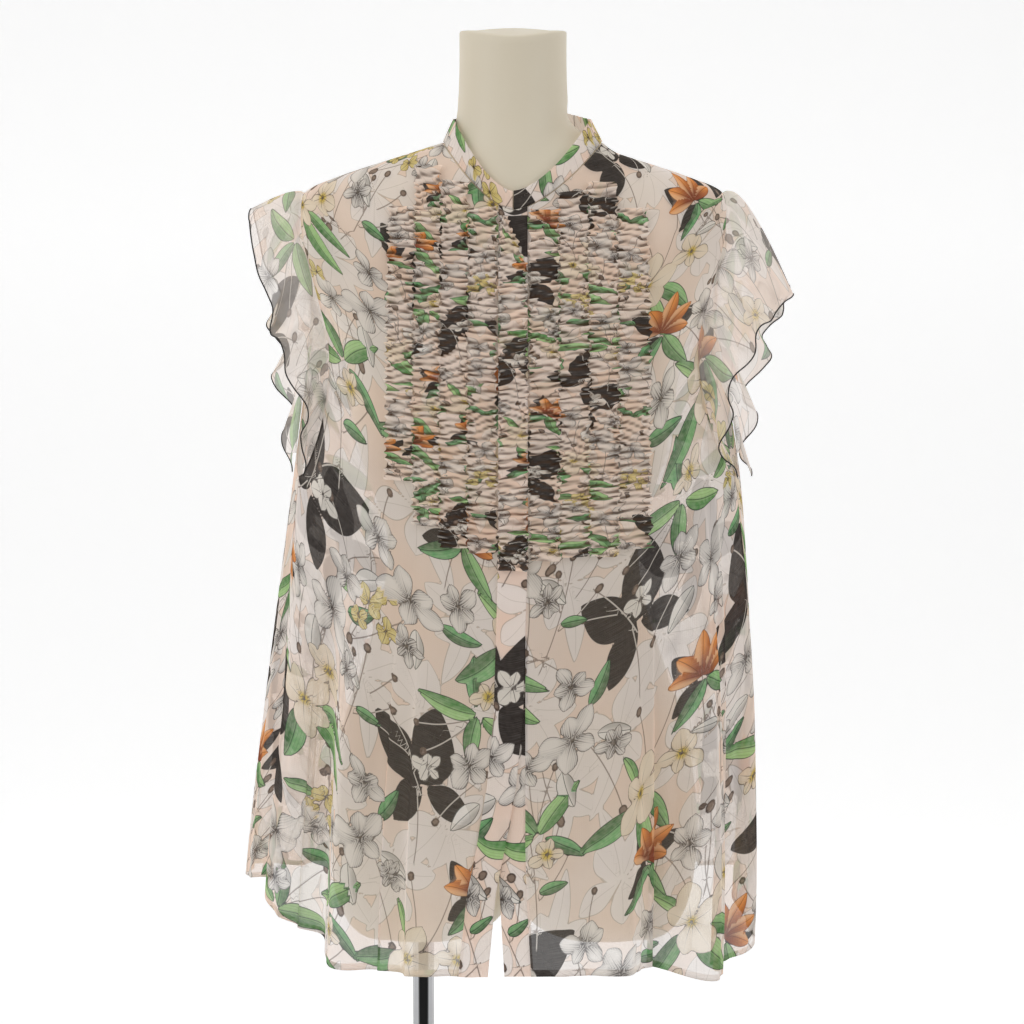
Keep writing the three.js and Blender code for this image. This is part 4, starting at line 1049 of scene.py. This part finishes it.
def thread_round(name, path, st, radius, material, sides=8):
    """A thin round cord along a path: a circle turned square to the path at every point, closed at both ends."""
    tangent = unit(np.gradient(path, axis=0))
    side_way = unit(np.cross(tangent, np.array([0.3, 0.2, 1.0])))
    up_way = np.cross(side_way, tangent)
    turn = np.linspace(0, 2 * np.pi, sides, endpoint=False)
    taper = np.ones(len(path))
    taper[[0, -1]] = 0.02
    ring = np.cos(turn)[None, :, None] * side_way[:, None] + np.sin(turn)[None, :, None] * up_way[:, None]
    points = path[:, None] + ring * (radius * taper)[:, None, None]
    uv = np.stack(np.broadcast_arrays(st[:, None], turn[None] * 2), -1)
    piece = mesh_piece(name, points, grid_faces(len(path), sides, wrap=True), uv)
    piece.data.materials.append(material)
    return piece


def flounce(name, side, columns=820, rows=34):
    along, v = np.meshgrid(np.linspace(0.02, 0.98, columns), np.linspace(0, 1, rows), indexing="ij")
    points = flounce_surface(FLOUNCES[name], side, along, v)
    allowance = [seat + normal * 0.7 for seat, normal in (seam_point(along[:, 0], side, tuck) for tuck in (-9, -3, 3))]
    points = np.concatenate([np.stack(allowance, 1), points], 1)
    rows += 3
    s = np.broadcast_to(lengths_along(points[:, rows // 2:rows // 2 + 1], 0), points.shape[:2])
    t = lengths_along(points, 1)
    piece = mesh_piece(name + "_cloth", points, grid_faces(columns, rows), np.stack([s, t], -1),
                       print_fields(s + 120 * side, -t + 260))
    piece.data.materials.append(FLUTED)
    edge = thread_round(name + "_edge", points[:, -1], lengths_along(points[:, -1:], 0)[:, 0], 0.62, BLACK_THREAD)
    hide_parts(name)


flounce("flounce_left", 1)
flounce("flounce_right", -1)

# %% [markdown]
# ## Display form and stand
# The form's solid has rings at set heights. A cubic curve through the same rings gives the moulded shell its smooth
# skin. It follows the cloth's inside over the shoulders, so the blouse rests on it.

# %% Form
NECK_RINGS = [  # half-width, side height, front reach and height, back reach and height
    (47.5, 1086, -47.5, 1079, 50, 1092), (47.5, 1058, -48.5, 1046, 52, 1068),
    (48.5, 1030, -52, 1008, 53, 1044), (51, 1008, -62, 966, 57, 1022),
]
TORSO_RINGS = np.array([  # half-width, front reach, back reach from the upper chest's ring down
    (189, -116, 98), (175, -122, 98), (158, -126, 97), (148, -127, 94), (143, -120, 88), (132, -106, 81),
    (113, -91, 76), (119, -93, 84), (139, -102, 101), (159, -106, 113), (167, -104, 114),
], float)
FLOOR = dict(z=334, half=165, front=-98, back=106, lobe=62)
REST_GAP, ARM_CAP_SEAT, BAND_SEAT = 1.5, 2.4, 1.6
SHAPED_BY_CLOTH = 5


def plain_ring(half, side, front_y, front, back_y, back, vee, degrees, squareness):
    return ring_point(dict(right=half, left=half, side=side, frontY=front_y, front=front, backY=back_y, back=back, vee=vee),
                      degrees, squareness)


def form_rings(degrees):
    """The form's rings from the neck's top to the lobes under its floor, each as points at the given degrees."""
    rings = [plain_ring(*row, 1.6, degrees, 2) for row in NECK_RINGS]
    for at in range(17):
        if at <= SHAPED_BY_CLOTH:
            p = cloth(degrees, at, creased=False)
            under_band = BAND_SEAT * np.exp(-2 * (p[..., 0] / PLACKET_WIDTH) ** 2) * (p[..., 1] < 0)
            seat = CLOTH + REST_GAP + max(0, at - 3) * ARM_CAP_SEAT + under_band
            rings.append(p - cloth_normal(degrees, at) * seat[..., None])
        else:
            half, front_y, back_y = TORSO_RINGS[at - 6]
            ring = {key: column(RINGS[key], np.array(float(at))) for key in RING_COLUMNS}
            rings.append(ring_point({**ring, "right": half, "left": half, "frontY": front_y, "backY": back_y}, degrees, SQUARENESS))
    floor = plain_ring(FLOOR["half"], FLOOR["z"], FLOOR["front"], FLOOR["z"], FLOOR["back"], FLOOR["z"], 2, degrees, SQUARENESS)
    rings.append(floor)
    for share in (0.96, 0.86, 0.7, 0.5, 0.3, 0.12, 0.005):
        p = floor * (share, share, 1)
        side = (np.abs(p[..., 0]) - FLOOR["half"] / 2) / (FLOOR["half"] / 2)
        deep = p[..., 1] / np.where(p[..., 1] < 0, FLOOR["front"], FLOOR["back"])
        round_off = np.maximum(0, 1 - np.abs(side) ** 2.6) * np.maximum(0, 1 - np.abs(deep) ** 2.6)
        p[..., 2] -= FLOOR["lobe"] * np.sqrt(round_off)
        rings.append(p)
    return np.stack(rings)


def between_rings(rings, steps):
    """Cubic curves through the rings, steps to each span."""
    at = np.linspace(0, len(rings) - 1, (len(rings) - 1) * steps + 1)
    last = len(rings) - 1
    i = np.clip(np.floor(at).astype(int), 0, last - 1)
    f = (at - i)[:, None, None]
    b, c = rings[i], rings[i + 1]
    a = np.where((i > 0)[:, None, None], rings[np.maximum(i - 1, 0)], 2 * b - c)
    d = np.where((i + 2 <= last)[:, None, None], rings[np.minimum(i + 2, last)], 2 * c - b)
    return (b * (1 + 2 * f) * (1 - f) ** 2 + (c - a) / 2 * f * (1 - f) ** 2 + c * f * f * (3 - 2 * f) - (d - b) / 2 * f * f * (1 - f))


def display_form(sides=144, steps=6):
    degrees = np.linspace(-180, 180, sides, endpoint=False)
    rings = form_rings(degrees)
    skin = between_rings(rings, steps)
    middle = skin[0].mean(0)
    cap = [middle + (skin[0] - middle) * share + (0, 0, rise) for share, rise in
           ((0.02, 2.4), (0.5, 2.3), (0.86, 2.1), (0.95, 1.8), (0.985, 1.2))]
    points = np.concatenate([np.stack(cap), skin])
    piece = mesh_piece("torso_form", points, grid_faces(len(points), sides, wrap=True), inward_of=(0, 0, 800))
    piece.data.materials.append(FORM_FINISH)
    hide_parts("torso")
    print("form rings", len(points), "sides", sides)


display_form()

# %% [markdown]
# Turned metal is a profile carried round an axis. Small rounded corners catch the light as real edges do.

# %% Pole, socket and foot plate
POLE_X, POLE_Y = -82, 4


def turned(name, profile, x, y, sides, material, node):
    """A profile of radius and height carried round an upright axis; a profile that ends where it starts is a ring."""
    profile = np.array(profile, float)
    turn = np.linspace(0, 2 * np.pi, sides, endpoint=False)
    r, z = profile[:, :1], profile[:, 1:]
    points = np.stack(np.broadcast_arrays(x + r * np.cos(turn), y + r * np.sin(turn), z), -1)
    middle = (x, y, float(profile[:, 1].mean()))
    piece = mesh_piece(name, points, grid_faces(len(profile), sides, wrap=True), inward_of=middle)
    piece.data.materials.append(material)
    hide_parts(node)
    return piece


def rounded(radius, low, high, bevel, steps=6):
    """Profile of a disc or rod: up its axis, round two bevelled corners and back to its axis."""
    a = np.linspace(0, np.pi / 2, steps)
    bottom = [(radius - bevel + bevel * np.sin(x), low + bevel - bevel * np.cos(x)) for x in a]
    top = [(radius - bevel + bevel * np.cos(x), high - bevel + bevel * np.sin(x)) for x in a]
    return [(0.01, low), (radius * 0.5, low), *bottom, *top, (radius * 0.5, high), (0.01, high)]


turned("chrome_pole", rounded(9.5, 8.4, 430, 0.8), POLE_X, POLE_Y, 64, CHROME, "pole")
turned("round_plate", rounded(170, 0, 8, 2.0), 0, 0, 160, PLATE_STEEL, "foot_plate")
corner = [(np.cos(a), np.sin(a)) for a in np.linspace(0, np.pi / 2, 6)]
socket = [(9.85, 8.3), (16.6, 8.3), (17, 8.7), *[(15.8 + 1.2 * c, 40.8 + 1.2 * s) for c, s in corner],
          (10.3, 42), (9.85, 41.6), (9.85, 8.3)]
turned("pole_collar", socket, POLE_X, POLE_Y, 64, PLATE_STEEL, "pole_socket")

# %% [markdown]
# ## Studio
# A white sweep and large soft lights. The surround is bright and the front is softer, as in a light tent, so the form
# is palest at its edges.

# %% Sweep, lights and camera
def studio_sweep():
    """A floor that curves up into a wall behind: a quarter circle joins the two straight runs. Behind the form it is
    lit from within, as the back of a light tent is; in front it is plain."""
    bend = np.linspace(0, np.pi / 2, 24)
    path = [(-3200.0, 0.0), (1400.0, 0.0), *[(1400 + 900 * np.sin(a), 900 - 900 * np.cos(a)) for a in bend[1:]], (2300.0, 4600.0)]
    y, z = np.array(path).T
    x = np.array([-4200.0, 4200.0])
    points = np.stack(np.broadcast_arrays(x[None], y[:, None], z[:, None]), -1)
    mesh = bpy.data.meshes.new("studio_sweep")
    mesh.from_pydata((points.reshape(-1, 3) * MM).tolist(), [], grid_faces(len(path), 2).tolist())
    mesh.polygons.foreach_set("use_smooth", np.ones(len(mesh.polygons), bool))
    sweep = bpy.data.objects.new("studio_sweep", mesh)
    bpy.context.scene.collection.objects.link(sweep)
    material, board = new_material("white sweep")
    shader = board.add("ShaderNodeBsdfPrincipled")
    shader.inputs["Base Color"].default_value = linear("fafafa")
    shader.inputs["Roughness"].default_value = 0.95
    shader.inputs["Emission Color"].default_value = (1, 1, 1, 1)
    split = board.add("ShaderNodeSeparateXYZ")
    board.put(split.inputs[0], board.add("ShaderNodeTexCoord").outputs["Object"])
    board.put(shader.inputs["Emission Strength"], board.ramp(split.outputs["Y"], 0.2, 0.6, 0.0, 0.34))
    # a camera that stands behind the wall looks through it
    behind = board.math("MULTIPLY", board.add("ShaderNodeNewGeometry").outputs["Backfacing"],
                        board.add("ShaderNodeLightPath").outputs["Is Camera Ray"])
    seen = board.add("ShaderNodeMixShader")
    for socket, value in zip(seen.inputs, (behind, shader.outputs[0], board.add("ShaderNodeBsdfTransparent").outputs[0])):
        board.put(socket, value)
    board.put(board.add("ShaderNodeOutputMaterial").inputs[0], seen.outputs[0])
    mesh.materials.append(material)


def soft_light(name, place, aim, size, power):
    light = bpy.data.lights.new(name, "AREA")
    light.shape = "RECTANGLE"
    light.size, light.size_y = size
    light.energy = power
    lamp = bpy.data.objects.new(name, light)
    lamp.location = place
    lamp.rotation_euler = (Vector(aim) - Vector(place)).to_track_quat("-Z", "Y").to_euler()
    bpy.context.scene.collection.objects.link(lamp)


studio_sweep()
soft_light("left bank", (-2.2, -1.6, 1.7), (0, 0, 0.75), (1.6, 2.2), 22)
soft_light("right bank", (2.2, -1.5, 1.6), (0, 0, 0.75), (1.6, 2.2), 14)
soft_light("overhead", (0, -0.4, 2.7), (0, 0, 0.8), (2.2, 1.6), 9)


def studio_world():
    """The room round the set: bright at the sides and behind, dark where the photographer stands."""
    world = bpy.data.worlds.new("white studio")
    world.use_nodes = True
    board = Board(world.node_tree)
    split = board.add("ShaderNodeSeparateXYZ")
    board.put(split.inputs[0], board.add("ShaderNodeTexCoord").outputs["Generated"])
    background = board.nodes["Background"]
    background.inputs["Color"].default_value = (1, 1, 1, 1)
    board.put(background.inputs["Strength"], board.ramp(split.outputs["Y"], -0.85, -0.45, 0.1, 0.46))
    bpy.context.scene.world = world


studio_world()
AIM_HEIGHT, AWAY, PITCH = 660.0, 2600.0, np.radians(5.8)
camera_data = bpy.data.cameras.new("photo camera")
camera_data.lens = 101.57
camera_data.sensor_width = 36.0
camera_data.shift_x = -1 / 1024
camera_data.clip_end = 50
camera = bpy.data.objects.new("photo camera", camera_data)
camera.location = (0, -AWAY * np.cos(PITCH) * MM, (AIM_HEIGHT + AWAY * np.sin(PITCH)) * MM)
camera.rotation_euler = (np.pi / 2 - PITCH, 0, 0)
bpy.context.scene.collection.objects.link(camera)
bpy.context.scene.camera = camera
bpy.context.scene.view_settings.view_transform = "Standard"
bpy.context.scene.cycles.transparent_max_bounces = 12
print("camera at", [round(v, 3) for v in camera.location])
